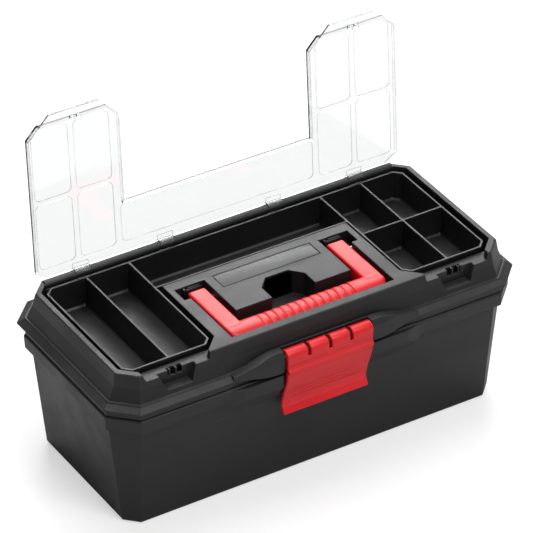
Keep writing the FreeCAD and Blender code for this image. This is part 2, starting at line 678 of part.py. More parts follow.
# --- Organiser insert ------------------------------------------------------------------------------
def organiser_outline(grow):
    """The U-shaped organiser, seen from above."""
    half = WELL_HALF - ORGANISER_GAP + grow
    back = WELL_BACK - ORGANISER_GAP_BACK + grow
    front = -(WELL_FRONT - ORGANISER_GAP_FRONT) - grow
    inner = PANEL_HALF + ORGANISER_GAP_PANEL - grow
    bar = PANEL_BACK + ORGANISER_GAP_PANEL - grow
    c = ORGANISER_CORNER
    return [(-half + c, front), (-inner - c, front), (-inner, front + c), (-inner, bar), (inner, bar),
            (inner, front + c), (inner + c, front), (half - c, front), (half, front + c), (half, back - c),
            (half - c, back), (-half + c, back), (-half, back - c), (-half, front + c)]


def pocket(x0, x1, y0, y1, cuts):
    """One compartment: tapered, with a narrow bevel around its floor. cuts gives four corner chamfers."""
    floor = WELL_FLOOR + ORGANISER_LIFT + ORGANISER_WALL

    def ring(inset, z):
        a, b, c, d = [max(cut - inset * 0.4, 0.8) for cut in cuts]
        left, right, near, far = x0 + inset, x1 - inset, y0 + inset, y1 - inset
        points = [(left + a, near), (right - b, near), (right, near + b), (right, far - c), (right - c, far),
                  (left + d, far), (left, far - d), (left, near + a)]
        return points, z

    return loft(ring(ORGANISER_TAPER + 1.6, floor), ring(ORGANISER_TAPER, floor + 1.6), ring(0, ORGANISER_TOP + 1))


def organiser_pockets():
    """The seven compartments: two long on the left, one behind the handle, four on the right."""
    wall = ORGANISER_WALL
    half = WELL_HALF - ORGANISER_GAP - wall
    back = WELL_BACK - ORGANISER_GAP_BACK - wall
    front = -(WELL_FRONT - ORGANISER_GAP_FRONT) + wall
    inner = PANEL_HALF + ORGANISER_GAP_PANEL + wall
    bar = PANEL_BACK + ORGANISER_GAP_PANEL + wall
    split = END_DIVIDER_X
    cross = CROSS_DIVIDER_Y
    c = ORGANISER_CORNER - 0.7
    left_outer = pocket(-half, -split - wall / 2, front, back, (c, 0.8, 0.8, c))
    left_inner = pocket(-split + wall / 2, -inner, front, back, (0.8, c, 0.8, 0.8))
    middle = pocket(-inner + wall, inner - wall, bar, back, (0.8, 0.8, 0.8, 0.8))
    rights = []
    for y0, y1, low_cut, high_cut in ((front, cross - wall / 2, c, 0.8), (cross + wall / 2, back, 0.8, c)):
        near_cut = c if low_cut > 1 else 0.8
        rights.append(pocket(inner, split - wall / 2, y0, y1, (near_cut, 0.8, 0.8, 0.8)))
        rights.append(pocket(split + wall / 2, half, y0, y1, (0.8, low_cut, high_cut, 0.8)))
    return [left_outer, left_inner, middle] + rights


def make_organiser():
    """The U-shaped tray of compartments that lies in the lid."""
    floor = WELL_FLOOR + ORGANISER_LIFT
    body = loft((organiser_outline(-ORGANISER_TAPER), floor), (organiser_outline(0), ORGANISER_TOP))
    for shape in organiser_pockets():
        body = body.cut(shape)
    return body


# --- Clear cover -----------------------------------------------------------------------------------
def cover_outline(inset):
    """The closed cover's outline, seen from above, moved in by inset."""
    half = WELL_HALF - COVER_GAP_RING - inset
    inner = PANEL_HALF + COVER_GAP_PANEL + inset
    rear = RAIL_Y - COVER_REAR_GAP - inset
    front = -COVER_FRONT + inset
    bar = PANEL_BACK + COVER_NOTCH_GAP + inset
    c = COVER_CORNER_FRONT - inset * 0.59
    return [(-half + c, front), (-inner - c, front), (-inner, front + c), (-inner, bar), (inner, bar),
            (inner, front + c), (inner + c, front), (half - c, front), (half, front + c), (half, rear - 7),
            (half - 12, rear), (-half + 12, rear), (-half, rear - 7), (-half, front + c)]


def fold_profile(low, high):
    """The closed cover's side profile: flat, then stepped down over the front shelf."""
    drop = low - SHELF - COVER_SHELF_GAP
    fold = -COVER_FRONT + COVER_FOLD
    foot = fold - drop * 0.35
    end = -COVER_FRONT - 1
    return [(RAIL_Y, low), (RAIL_Y, high), (fold, high), (foot, high - drop), (end, high - drop),
            (end, low - drop), (foot + COVER_WALL, low - drop), (fold + COVER_WALL, low)]


def window_field(x0, x1, y0, y1, z):
    """One shallow window field with rounded corners."""
    field = block(x0, x1, y0, y1, z, z + 2)
    upright = [edge for edge in field.Edges if edge.BoundBox.ZLength > 1]
    return field.makeFillet(WINDOW_CORNER, upright)


def cover_windows(z):
    """The shallow window fields: four on each end, and a long one along the back."""
    fields = []
    rear = RAIL_Y - COVER_REAR_GAP
    outer = WELL_HALF - COVER_GAP_RING
    inner = PANEL_HALF + COVER_GAP_PANEL
    columns = ((inner + 8.4, END_DIVIDER_X - 1.9), (END_DIVIDER_X + 3.3, outer - 4.6))
    rows = ((rear - 70.2, rear - 9.2), (rear - 138.5, rear - 74.1))
    for x0, x1 in columns:
        for y0, y1 in rows:
            fields += both_sides(window_field(x0, x1, y0, y1, z))
    half = inner + 2.4
    fields.append(window_field(-half, half, rear - 46, rear - 10, z))
    return fields


def cover_pegs(low):
    """The small snap pegs under the front strip, over the shelf's holes."""
    pegs = []
    for left in SNAP_LEFTS:
        x0 = END_DIVIDER_X + left + SNAP_GAP
        x1 = x0 + SNAP_HOLE - 2 * SNAP_GAP
        y0 = SNAP_Y - SNAP_DEPTH / 2 + SNAP_GAP
        y1 = SNAP_Y + SNAP_DEPTH / 2 - SNAP_GAP
        pegs += both_sides(block(x0, x1, y0, y1, low - PEG_LENGTH, low + 0.2))
    return pegs


def cover_clip(centre):
    """One C-shaped clip around the rail, with its strap to the cover's rear edge."""
    inner = RAIL_RADIUS + CLIP_CLEARANCE
    outer = inner + CLIP_WALL
    x0 = centre - CLIP_WIDTH / 2
    x1 = centre + CLIP_WIDTH / 2
    ring = rod(x0, x1, RAIL_Y, RAIL_Z, outer).cut(rod(x0 - 1, x1 + 1, RAIL_Y, RAIL_Z, inner))
    mouth = prism_x([(RAIL_Y, RAIL_Z), (RAIL_Y + 12, RAIL_Z - 12), (RAIL_Y - 9, RAIL_Z - 12)], x0 - 1, x1 + 1)
    low = RAIL_Z + COVER_LIFT
    strap = block(x0, x1, RAIL_Y - COVER_REAR_GAP - 4.5, RAIL_Y - inner - 0.1, low, low + COVER_WALL + 0.5)
    return union([ring.cut(mouth), strap])


def make_cover():
    """The clear U-shaped cover, opened against its stop."""
    low = RAIL_Z + COVER_LIFT
    high = low + COVER_WALL
    sheet = prism(cover_outline(0), low - 20, high + 5).common(prism_x(fold_profile(low, high), -LENGTH, LENGTH))
    skirt_low = low - COVER_SKIRT
    edge = prism(cover_outline(0), skirt_low - 10, high + 5).cut(
        prism(cover_outline(COVER_SKIRT_WALL), skirt_low - 11, high + 6))
    edge = edge.common(prism_x([(RAIL_Y, high), (-COVER_FRONT + COVER_FOLD, high),
                                (-COVER_FRONT + COVER_FOLD, skirt_low), (RAIL_Y, skirt_low)], -LENGTH, LENGTH))
    behind_rail_line = block(-LENGTH, LENGTH, RAIL_Y - COVER_REAR_GAP - 9, RAIL_Y, skirt_low - 1, low - 0.01)
    edge = edge.cut(behind_rail_line)
    clips = [cover_clip(centre) for centre in CLIP_CENTRES]
    cover = union([sheet, edge] + clips + cover_pegs(SHELF + COVER_SHELF_GAP))
    for field in cover_windows(high - WINDOW_SINK):
        cover = cover.cut(field)
    cover.rotate(Vector(0, RAIL_Y, RAIL_Z), X_AXIS, -COVER_OPEN_ANGLE)
    return cover


# --- Handle ----------------------------------------------------------------------------------------
def handle_arm():
    """The right arm, square in section, rounded at the pivot."""
    x0 = HANDLE_HALF - ARM_WIDTH
    low = HANDLE_TOP - ARM_HEIGHT
    arm = block(x0, HANDLE_HALF, GRIP_Y, PIVOT_Y, low, HANDLE_TOP)
    end = rod(x0, HANDLE_HALF, PIVOT_Y, PIVOT_Z, PIVOT_ROUND)
    tail = block(x0, HANDLE_HALF, PIVOT_Y, PIVOT_Y + PIVOT_ROUND, PIVOT_Z, HANDLE_TOP)
    arm = union([arm, end, tail])
    edges = [edge for edge in arm.Edges if is_long_arm_edge(edge)]
    return arm.makeFillet(1.6, edges)


def is_long_arm_edge(edge):
    """True for the arm's straight edges along Y."""
    a = edge.Vertexes[0].Point
    b = edge.Vertexes[-1].Point
    return abs(a.y - b.y) > 20


def grip_profile():
    """Half of the grip's outline above its axis, in the plane Y = 0: two smooth bars and the ribs between them."""
    radius = GRIP_HEIGHT / 2
    valley = radius - RIB_HEIGHT
    ribbed = RIB_PITCH * RIB_COUNT / 2
    corners = [Vector(-HANDLE_HALF, 0, 0), Vector(-HANDLE_HALF, 0, radius), Vector(-ribbed, 0, radius),
               Vector(-ribbed, 0, valley)]
    edges = [Part.LineSegment(a, b).toShape() for a, b in zip(corners, corners[1:])]
    last = corners[-1]
    for i in range(RIB_COUNT):
        x0 = -ribbed + i * RIB_PITCH + RIB_GROOVE / 2
        x1 = x0 + RIB_PITCH - RIB_GROOVE
        start = Vector(x0, 0, valley)
        end = Vector(x1, 0, valley)
        edges.append(Part.LineSegment(last, start).toShape())
        edges.append(Part.Arc(start, Vector((x0 + x1) / 2, 0, radius), end).toShape())
        last = end
    corners = [last] + [Vector(-point.x, 0, point.z) for point in reversed(corners)] + corners[:1]
    edges += [Part.LineSegment(a, b).toShape() for a, b in zip(corners, corners[1:])]
    return Part.Face(Part.Wire(edges))


def make_grip():
    """The grip: its profile turned at the front and at the back, and drawn straight between the two."""
    half = (GRIP_DEPTH - GRIP_HEIGHT) / 2
    profile = grip_profile()
    centre = Vector(0, GRIP_Y, GRIP_Z)
    parts = []
    for side in (-1, 1):
        turned = profile.revolve(Vector(0, 0, 0), X_AXIS, 360)
        turned.translate(centre + Vector(0, side * half, 0))
        parts.append(turned)
        straight = profile.extrude(Vector(0, 2 * half, 0))
        if side < 0:
            straight = straight.mirror(Vector(0, 0, 0), Vector(0, 0, 1))
        straight.translate(centre - Vector(0, half, 0))
        parts.append(straight)
    return union(parts)


def handle_room():
    """The room the whole handle fills, with rounded front corners seen from above."""
    front = GRIP_Y - GRIP_DEPTH / 2
    room = block(-HANDLE_HALF, HANDLE_HALF, front, PIVOT_Y + PIVOT_ROUND, HANDLE_TOP - GRIP_HEIGHT, HANDLE_TOP)
    corners = [edge for edge in room.Edges if edge.BoundBox.ZLength > 1 and edge.BoundBox.YMin < front + 1]
    return room.makeFillet(HANDLE_CORNER, corners)


def make_handle():
    """The bail handle, lying forward in its recess."""
    handle = union([make_grip()] + both_sides(handle_arm())).common(handle_room())
    bore = rod(-HANDLE_HALF - 1, HANDLE_HALF + 1, PIVOT_Y, PIVOT_Z, PIVOT_PIN_DIAMETER / 2 + PIN_CLEARANCE)
    return handle.cut(bore)


def make_handle_pin():
    """The right handle pin, from the island's wall to the outer wall of the pocket."""
    return rod(ISLAND_HALF - WALL, POCKET_HALF + 3, PIVOT_Y, PIVOT_Z, PIVOT_PIN_DIAMETER / 2)


# --- Latch -----------------------------------------------------------------------------------------
def latch_front():
    """The latch's front line from the knuckle down to the lip: (distance in front of the pin, drop below it)."""
    face = KNUCKLE_RADIUS
    ridge = face + LATCH_RIDGE_OUT
    points = [(face, 0), (face + 0.3, LATCH_RIDGE_DROP - 1.6), (ridge, LATCH_RIDGE_DROP),
              (ridge, LATCH_RIDGE_DROP + 1.8)]
    panel = s_curve(LATCH_PANEL_DROP, LATCH_WAIST_DROP, face - LATCH_PANEL_SINK, face - LATCH_WAIST_SINK)
    lip = s_curve(LATCH_WAIST_DROP + 1, LATCH_LENGTH, face - LATCH_WAIST_SINK, face - LATCH_LIP_SINK)
    return points + [(out, drop) for drop, out in panel + lip[::2]]


def latch_section(depth):
    """The closed (y, z) section between the front line and the same line moved back."""
    front = [(LATCH_PIN_Y - out, LATCH_PIN_Z - drop) for out, drop in latch_front()]
    back = [(y + depth, z) for y, z in reversed(front)]
    return front + back


def latch_rib():
    """The rib behind the panel that snaps under the tub's catch."""
    tip = -RIM_FRONT + CATCH_RECESS - CATCH_RISE - CATCH_GAP
    root = tip - RIB_ROOT
    z = BAND_BOTTOM - 8.5
    half = LATCH_HALF - 10
    return prism_x([(tip, z), (tip, z - 1.2), (root, z - 2.5), (root, z + 1)], -half, half)


def latch_knuckle_gaps():
    """The slots over the knuckles that the lid's eyes reach into."""
    half = LUG_WIDTH / 2 + LUG_GAP
    low = LATCH_PIN_Z - LUG_EYE - LUG_GAP
    reach = KNUCKLE_RADIUS + 4
    gaps = []
    for centre in lug_centres():
        gaps.append(block(centre - half, centre + half, LATCH_PIN_Y - reach, LATCH_PIN_Y + reach, low,
                          LATCH_PIN_Z + reach))
    return gaps


def make_latch():
    """The wide latch: four knuckles, a ridge, a slanting panel and a finger lip."""
    plate = prism_x(latch_section(LATCH_WALL), -LATCH_HALF, LATCH_HALF)
    barrel = rod(-LATCH_HALF, LATCH_HALF, LATCH_PIN_Y, LATCH_PIN_Z, KNUCKLE_RADIUS)
    latch = union([plate, barrel, latch_rib()])
    for gap in latch_knuckle_gaps():
        latch = latch.cut(gap)
    bore = rod(-LATCH_HALF - 1, LATCH_HALF + 1, LATCH_PIN_Y, LATCH_PIN_Z, LATCH_PIN_DIAMETER / 2 + PIN_CLEARANCE)
    return latch.cut(bore).removeSplitter()


def make_latch_pin():
    """The steel rod through the latch's knuckles and the lid's lugs."""
    reach = LATCH_HALF + LATCH_SIDE_GAP + 4
    return rod(-reach, reach, LATCH_PIN_Y, LATCH_PIN_Z, LATCH_PIN_DIAMETER / 2)


def make_hinge_pin(centre):
    """One rear hinge pin."""
    reach = HINGE_LUG * 2 + HINGE_LUG_GAP
    return rod(centre - reach, centre + reach, HINGE_Y, HINGE_Z, HINGE_PIN_DIAMETER / 2)


# --- Lift-out tray ---------------------------------------------------------------------------------
def tray_outline(z, grow):
    """The tray's outline, following the tub's inside at its rim."""
    return tub_outline(z, WALL + TRAY_GAP - grow)


def make_tray():
    """The inner tray: an open trough with a rim, two dividers and a middle grip."""
    top = SEAM_HEIGHT - TRAY_TOP_GAP
    floor = top - TRAY_DEPTH
    inset = LEDGE_WIDTH + 0.6
    body_top = tray_outline(top, -inset)
    body = loft((tray_outline(top, -inset - TRAY_TAPER), floor), (body_top, top))
    rim = prism(tray_outline(BAND_BOTTOM, 0), top - TRAY_RIM, top)
    inner_low = tray_outline(top, -inset - TRAY_TAPER - TRAY_WALL)
    inner_top = tray_outline(top, -inset - TRAY_WALL)
    trough = loft((inner_low, floor + TRAY_WALL), (inner_top, top + 1))
    groove = prism(tray_outline(BAND_BOTTOM, -TRAY_WALL), top - TRAY_RIM - 1, top - TRAY_WALL)
    groove = groove.cut(prism(body_top, floor, top + 1))
    tray = union([body, rim]).cut(trough).cut(groove)
    depth = body_top[4][1] - 0.5
    dividers = []
    for x in (-TRAY_DIVIDER_X, TRAY_DIVIDER_X):
        dividers.append(block(x - TRAY_WALL / 2, x + TRAY_WALL / 2, -depth, depth, floor + 0.5, top - 6))
    spine = block(-TRAY_DIVIDER_X, TRAY_DIVIDER_X, -TRAY_WALL / 2, TRAY_WALL / 2, floor + 0.5, top - 6)
    grip = block(-TRAY_GRIP_HALF, TRAY_GRIP_HALF, -TRAY_GRIP_THICK / 2, TRAY_GRIP_THICK / 2,
                 top - 16, top + TRAY_GRIP_RISE - 4)
    inside = loft((tray_outline(top, -inset - TRAY_TAPER - 0.5), floor), (tray_outline(top, -inset - 0.5), top + 10))
    extras = union(dividers + [spine, grip]).common(inside)
    return union([tray, extras])


# --- All sub-parts ---------------------------------------------------------------------------------
def main():
    """Builds every sub-part and writes it to its own file."""
    os.makedirs("parts", exist_ok=True)
    handle_pin = make_handle_pin()
    shapes = {
        "tub": make_tub(),
        "lid_shell": make_lid(),
        "organiser_insert": make_organiser(),
        "clear_cover": make_cover(),
        "carry_handle": make_handle(),
        "handle_pin_right": handle_pin,
        "handle_pin_left": mirrored(handle_pin),
        "front_latch": make_latch(),
        "latch_pin": make_latch_pin(),
        "hinge_pin_left": make_hinge_pin(HINGE_CENTRES[0]),
        "hinge_pin_right": make_hinge_pin(HINGE_CENTRES[1]),
        "lift_out_tray": make_tray(),
    }
    for node, shape in shapes.items():
        save(shape, node)
        print(node, "solids", len(shape.Solids), "valid", shape.isValid(), "cm3", round(shape.Volume / 1000, 1))


main()
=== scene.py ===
"""Looks for a plastic toolbox with an organiser lid, a clear cover and a lift-out tray.

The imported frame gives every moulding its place. This script dresses those mouldings, builds the soft-edged
handle, the latch and the small clips as surfaces worked out with numpy, and sets up a plain studio.
"""

import logging
import math
from dataclasses import dataclass, field
from enum import Enum

import bpy
import numpy as np
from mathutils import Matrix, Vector


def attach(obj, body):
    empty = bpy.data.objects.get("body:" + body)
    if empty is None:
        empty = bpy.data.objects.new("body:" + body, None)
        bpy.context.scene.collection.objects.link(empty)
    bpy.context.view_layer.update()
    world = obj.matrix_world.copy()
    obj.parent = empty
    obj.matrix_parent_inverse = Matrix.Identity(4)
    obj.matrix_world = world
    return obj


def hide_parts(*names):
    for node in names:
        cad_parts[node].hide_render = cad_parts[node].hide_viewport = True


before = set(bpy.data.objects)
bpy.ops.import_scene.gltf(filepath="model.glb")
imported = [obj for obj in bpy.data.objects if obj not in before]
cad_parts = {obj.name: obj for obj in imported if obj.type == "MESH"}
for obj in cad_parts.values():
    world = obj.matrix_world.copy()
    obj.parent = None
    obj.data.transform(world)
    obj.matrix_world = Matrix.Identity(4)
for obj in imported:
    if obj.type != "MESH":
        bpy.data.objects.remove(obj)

LOG = logging.getLogger("toolbox")
MM = 0.001


class Slot(Enum):
    """The record's material slots, and the label plate's own finish."""

    SHELL = "shell_black"
    ORGANISER = "organiser_black"
    COVER = "cover_clear"
    RED = "red_plastic"
    STEEL = "pin_steel"
    TRAY = "tray_grey"
    LABEL = "label_smooth"


class Body(Enum):
    """The rigid bodies that pieces ride on."""

    TUB = "tub"
    LID = "lid"
    COVER = "cover"
    HANDLE = "handle"
    LATCH = "latch"
    TRAY = "tray"


# --- Shader helpers --------------------------------------------------------------------------------
class GroupMaker:
    """Builds one shader node group with named inputs and outputs."""

    def __init__(self, name: str, inputs: dict[str, object], outputs: dict[str, str]) -> None:
        """Opens a group.

        Args:
            name: the group's name.
            inputs: input names to default values; a number makes a float socket, None a vector socket.
            outputs: output names to socket types.
        """
        self.tree = bpy.data.node_groups.new(name, "ShaderNodeTree")
        for label, value in inputs.items():
            kind = "NodeSocketVector" if value is None else "NodeSocketFloat"
            socket = self.tree.interface.new_socket(name=label, in_out="INPUT", socket_type=kind)
            if value is not None:
                socket.default_value = value
        for label, kind in outputs.items():
            self.tree.interface.new_socket(name=label, in_out="OUTPUT", socket_type=kind)
        self.source = self.tree.nodes.new("NodeGroupInput")
        self.sink = self.tree.nodes.new("NodeGroupOutput")

    def take(self, label: str) -> bpy.types.NodeSocket:
        """The socket inside the group that carries an input."""
        return self.source.outputs[label]

    def give(self, label: str, socket: bpy.types.NodeSocket) -> None:
        """Sends a value out of the group."""
        self.tree.links.new(socket, self.sink.inputs[label])


class Wiring:
    """Short ways to add and join shader nodes in one tree."""

    def __init__(self, tree: bpy.types.NodeTree) -> None:
        """Keeps the tree that nodes go into."""
        self.tree = tree

    def node(self, kind: str, **settings: object) -> bpy.types.Node:
        """Adds a node.

        Args:
            kind: the node's type name.
            settings: attributes to set on it.

        Returns:
            The new node.
        """
        made = self.tree.nodes.new(kind)
        for label, value in settings.items():
            setattr(made, label, value)
        return made

    def join(self, source: object, target: bpy.types.NodeSocket) -> None:
        """Links a socket to a target, or sets the target to a plain value."""
        if isinstance(source, bpy.types.NodeSocket):
            self.tree.links.new(source, target)
        else:
            target.default_value = source

    def math(self, operation: str, a: object, b: object = 0.0, clamp: bool = False) -> bpy.types.NodeSocket:
        """A Math node.

        Args:
            operation: what it works out.
            a: first value or socket.
            b: second value or socket.
            clamp: True to keep the result between 0 and 1.

        Returns:
            The result's socket.
        """
        made = self.node("ShaderNodeMath", operation=operation, use_clamp=clamp)
        self.join(a, made.inputs[0])
        self.join(b, made.inputs[1])
        return made.outputs[0]

    def span(self, value: bpy.types.NodeSocket, low: float, high: float, to_low: object = 0.0,
             to_high: object = 1.0) -> bpy.types.NodeSocket:
        """A Map Range node with a soft ease between its ends.

        Args:
            value: the socket to map.
            low: value that gives to_low.
            high: value that gives to_high.
            to_low: result at low.
            to_high: result at high.

        Returns:
            The result's socket.
        """
        made = self.node("ShaderNodeMapRange", interpolation_type="SMOOTHSTEP")
        self.join(value, made.inputs["Value"])
        made.inputs["From Min"].default_value = low
        made.inputs["From Max"].default_value = high
        self.join(to_low, made.inputs["To Min"])
        self.join(to_high, made.inputs["To Max"])
        return made.outputs["Result"]

    def noise(self, vector: bpy.types.NodeSocket, scale: object, detail: float = 2.0,
              roughness: float = 0.5) -> bpy.types.NodeSocket:
        """A Noise Texture's value.

        Args:
            vector: where it is read.
            scale: features per metre, or a socket.
            detail: octaves.
            roughness: strength of the finer octaves.

        Returns:
            The value's socket, about 0 to 1.
        """
        made = self.node("ShaderNodeTexNoise")
        self.join(vector, made.inputs["Vector"])
        self.join(scale, made.inputs["Scale"])
        made.inputs["Detail"].default_value = detail
        made.inputs["Roughness"].default_value = roughness
        return made.outputs["Fac"]

    def stretched(self, vector: bpy.types.NodeSocket, scale: tuple[float, float, float],
                  turn: tuple[float, float, float] = (0.0, 0.0, 0.0)) -> bpy.types.NodeSocket:
        """Coordinates turned, then stretched unevenly, for patterns that run one way.

        Args:
            vector: the coordinates.
            scale: scale along each axis.
            turn: rotation in radians.

        Returns:
            The new coordinates' socket.
        """
        made = self.node("ShaderNodeMapping")
        self.join(vector, made.inputs["Vector"])
        made.inputs["Scale"].default_value = scale
        made.inputs["Rotation"].default_value = turn
        return made.outputs["Vector"]

    def blend(self, mask: object, a: object, b: object) -> bpy.types.NodeSocket:
        """A colour mix.

        Args:
            mask: 0 gives a, 1 gives b.
            a: colour or socket.
            b: colour or socket.

        Returns:
            The mixed colour's socket.
        """
        made = self.node("ShaderNodeMix", data_type="RGBA")
        self.join(mask, made.inputs["Factor"])
        self.join(a, made.inputs["A"])
        self.join(b, made.inputs["B"])
        return made.outputs["Result"]

    def place(self, group: bpy.types.NodeTree, **values: object) -> bpy.types.Node:
        """Places a group.

        Args:
            group: the node group.
            values: its inputs, with underscores for spaces.

        Returns:
            The group's node.
        """
        made = self.node("ShaderNodeGroup", node_tree=group)
        for label, value in values.items():
            self.join(value, made.inputs[label.replace("_", " ").title()])
        return made


@dataclass
class SharedEffects:
    """The node groups that several finishes use."""

    grain: bpy.types.NodeTree = field(init=False)
    edge_mask: bpy.types.NodeTree = field(init=False)
    # edge mask: real rubbed wear on the mouldings, painted shade on the clear sheet's rims
    scuffs: bpy.types.NodeTree = field(init=False)
    dust: bpy.types.NodeTree = field(init=False)

    def __post_init__(self) -> None:
        """Builds every group once."""
        self.grain = self.make_grain()
        self.edge_mask = self.make_edge_mask()
        self.scuffs = self.make_scuffs()
        self.dust = self.make_dust()

    def make_grain(self) -> bpy.types.NodeTree:
        """Spark-etched mould grain: fine pebbles over slow blotches.

        Returns:
            The group, with Height for the pebbles, and Blotch and Flow for slow changes.
        """
        maker = GroupMaker("moulded_grain", {"Vector": None, "Pebbles": 1500.0, "Blotches": 14.0},
                           {"Height": "NodeSocketFloat", "Blotch": "NodeSocketFloat",
                            "Flow": "NodeSocketFloat"})
        w = Wiring(maker.tree)
        vector = maker.take("Vector")
        cells = w.node("ShaderNodeTexVoronoi", feature="SMOOTH_F1")
        w.join(vector, cells.inputs["Vector"])
        w.join(maker.take("Pebbles"), cells.inputs["Scale"])
        coarse = w.noise(vector, w.math("MULTIPLY", maker.take("Pebbles"), 0.55), 3.0, 0.6)
        pebbles = w.span(cells.outputs["Distance"], 0.05, 0.75, 1.0, 0.0)
        height = w.math("MULTIPLY_ADD", pebbles, 0.6)
        w.join(coarse, height.node.inputs[2])
        maker.give("Height", height)
        maker.give("Blotch", w.span(w.noise(vector, maker.take("Blotches"), 4.0, 0.55), 0.32, 0.68))
        flow = w.noise(w.stretched(vector, (0.25, 1.0, 1.0)), w.math("MULTIPLY", maker.take("Blotches"), 2.0), 3.0)
        maker.give("Flow", w.span(flow, 0.3, 0.7))
        return maker.tree

    def make_edge_mask(self) -> bpy.types.NodeTree:
        """An edge mask where the rounded normal leaves the flat one, broken up by noise: rubbed-edge wear on the
        mouldings, painted rim shade on the clear sheet.

        Returns:
            The group, with Mask from 0 to 1.
        """
        maker = GroupMaker("rubbed_edges_and_rim_shade", {"Vector": None, "Rounded": None, "Flat": None, "Amount": 0.5},
                           {"Mask": "NodeSocketFloat"})
        w = Wiring(maker.tree)
        dot = w.node("ShaderNodeVectorMath", operation="DOT_PRODUCT")
        w.join(maker.take("Rounded"), dot.inputs[0])
        w.join(maker.take("Flat"), dot.inputs[1])
        bend = w.span(w.math("SUBTRACT", 1.0, dot.outputs["Value"]), 0.004, 0.12)
        patchy = w.span(w.noise(maker.take("Vector"), 60.0, 5.0, 0.65), 0.36, 0.66, 0.25, 1.0)
        strength = w.math("MULTIPLY", bend, patchy)
        maker.give("Mask", w.math("MULTIPLY", strength, maker.take("Amount"), clamp=True))
        return maker.tree

    def make_scuffs(self) -> bpy.types.NodeTree:
        """Hairline scuffs in two directions, only in some places.

        Returns:
            The group, with Mask from 0 to 1.
        """
        maker = GroupMaker("hairline_scuffs", {"Vector": None, "Amount": 0.4}, {"Mask": "NodeSocketFloat"})
        w = Wiring(maker.tree)
        vector = maker.take("Vector")
        lines = []
        for scale, turn in (((14.0, 900.0, 900.0), (0.3, 0.2, 0.35)), ((700.0, 16.0, 700.0), (0.1, 0.5, -0.4))):
            streaks = w.noise(w.stretched(vector, scale, turn), 1.0, 2.0, 0.6)
            lines.append(w.span(streaks, 0.66, 0.74))
        where = w.span(w.noise(vector, 22.0, 3.0, 0.6), 0.5, 0.7)
        both = w.math("MAXIMUM", lines[0], lines[1])
        mask = w.math("MULTIPLY", w.math("MULTIPLY", both, where), maker.take("Amount"), clamp=True)
        maker.give("Mask", mask)
        return maker.tree

    def make_dust(self) -> bpy.types.NodeTree:
        """A faint film that settles on surfaces that face up.

        Returns:
            The group, with Mask from 0 to 1.
        """
        maker = GroupMaker("settled_dust", {"Vector": None, "Normal": None, "Amount": 0.15},
                           {"Mask": "NodeSocketFloat"})
        w = Wiring(maker.tree)
        parts = w.node("ShaderNodeSeparateXYZ")
        w.join(maker.take("Normal"), parts.inputs[0])
        up = w.span(parts.outputs["Z"], 0.35, 0.95)
        specks = w.span(w.noise(maker.take("Vector"), 420.0, 4.0, 0.75), 0.45, 0.72)
        film = w.span(w.noise(maker.take("Vector"), 9.0, 3.0, 0.6), 0.3, 0.75)
        both = w.math("MULTIPLY", w.math("ADD", w.math("MULTIPLY", specks, 0.6), 0.4), film)
        maker.give("Mask", w.math("MULTIPLY", w.math("MULTIPLY", both, up), maker.take("Amount"), clamp=True))
        return maker.tree


# --- Finishes --------------------------------------------------------------------------------------
def empty_material(name: str, viewport: tuple[float, float, float, float]) -> tuple[bpy.types.Material, Wiring]:
    """Starts a node material.

    Args:
        name: the material's name.
        viewport: its plain colour.

    Returns:
        The material and the wiring of its tree, with an output node named Surface Out.
    """
    material = bpy.data.materials.new(name)
    material.use_nodes = True
    material.node_tree.nodes.clear()
    material.diffuse_color = viewport
    wiring = Wiring(material.node_tree)
    wiring.node("ShaderNodeOutputMaterial", name="Surface Out")
    return material, wiring


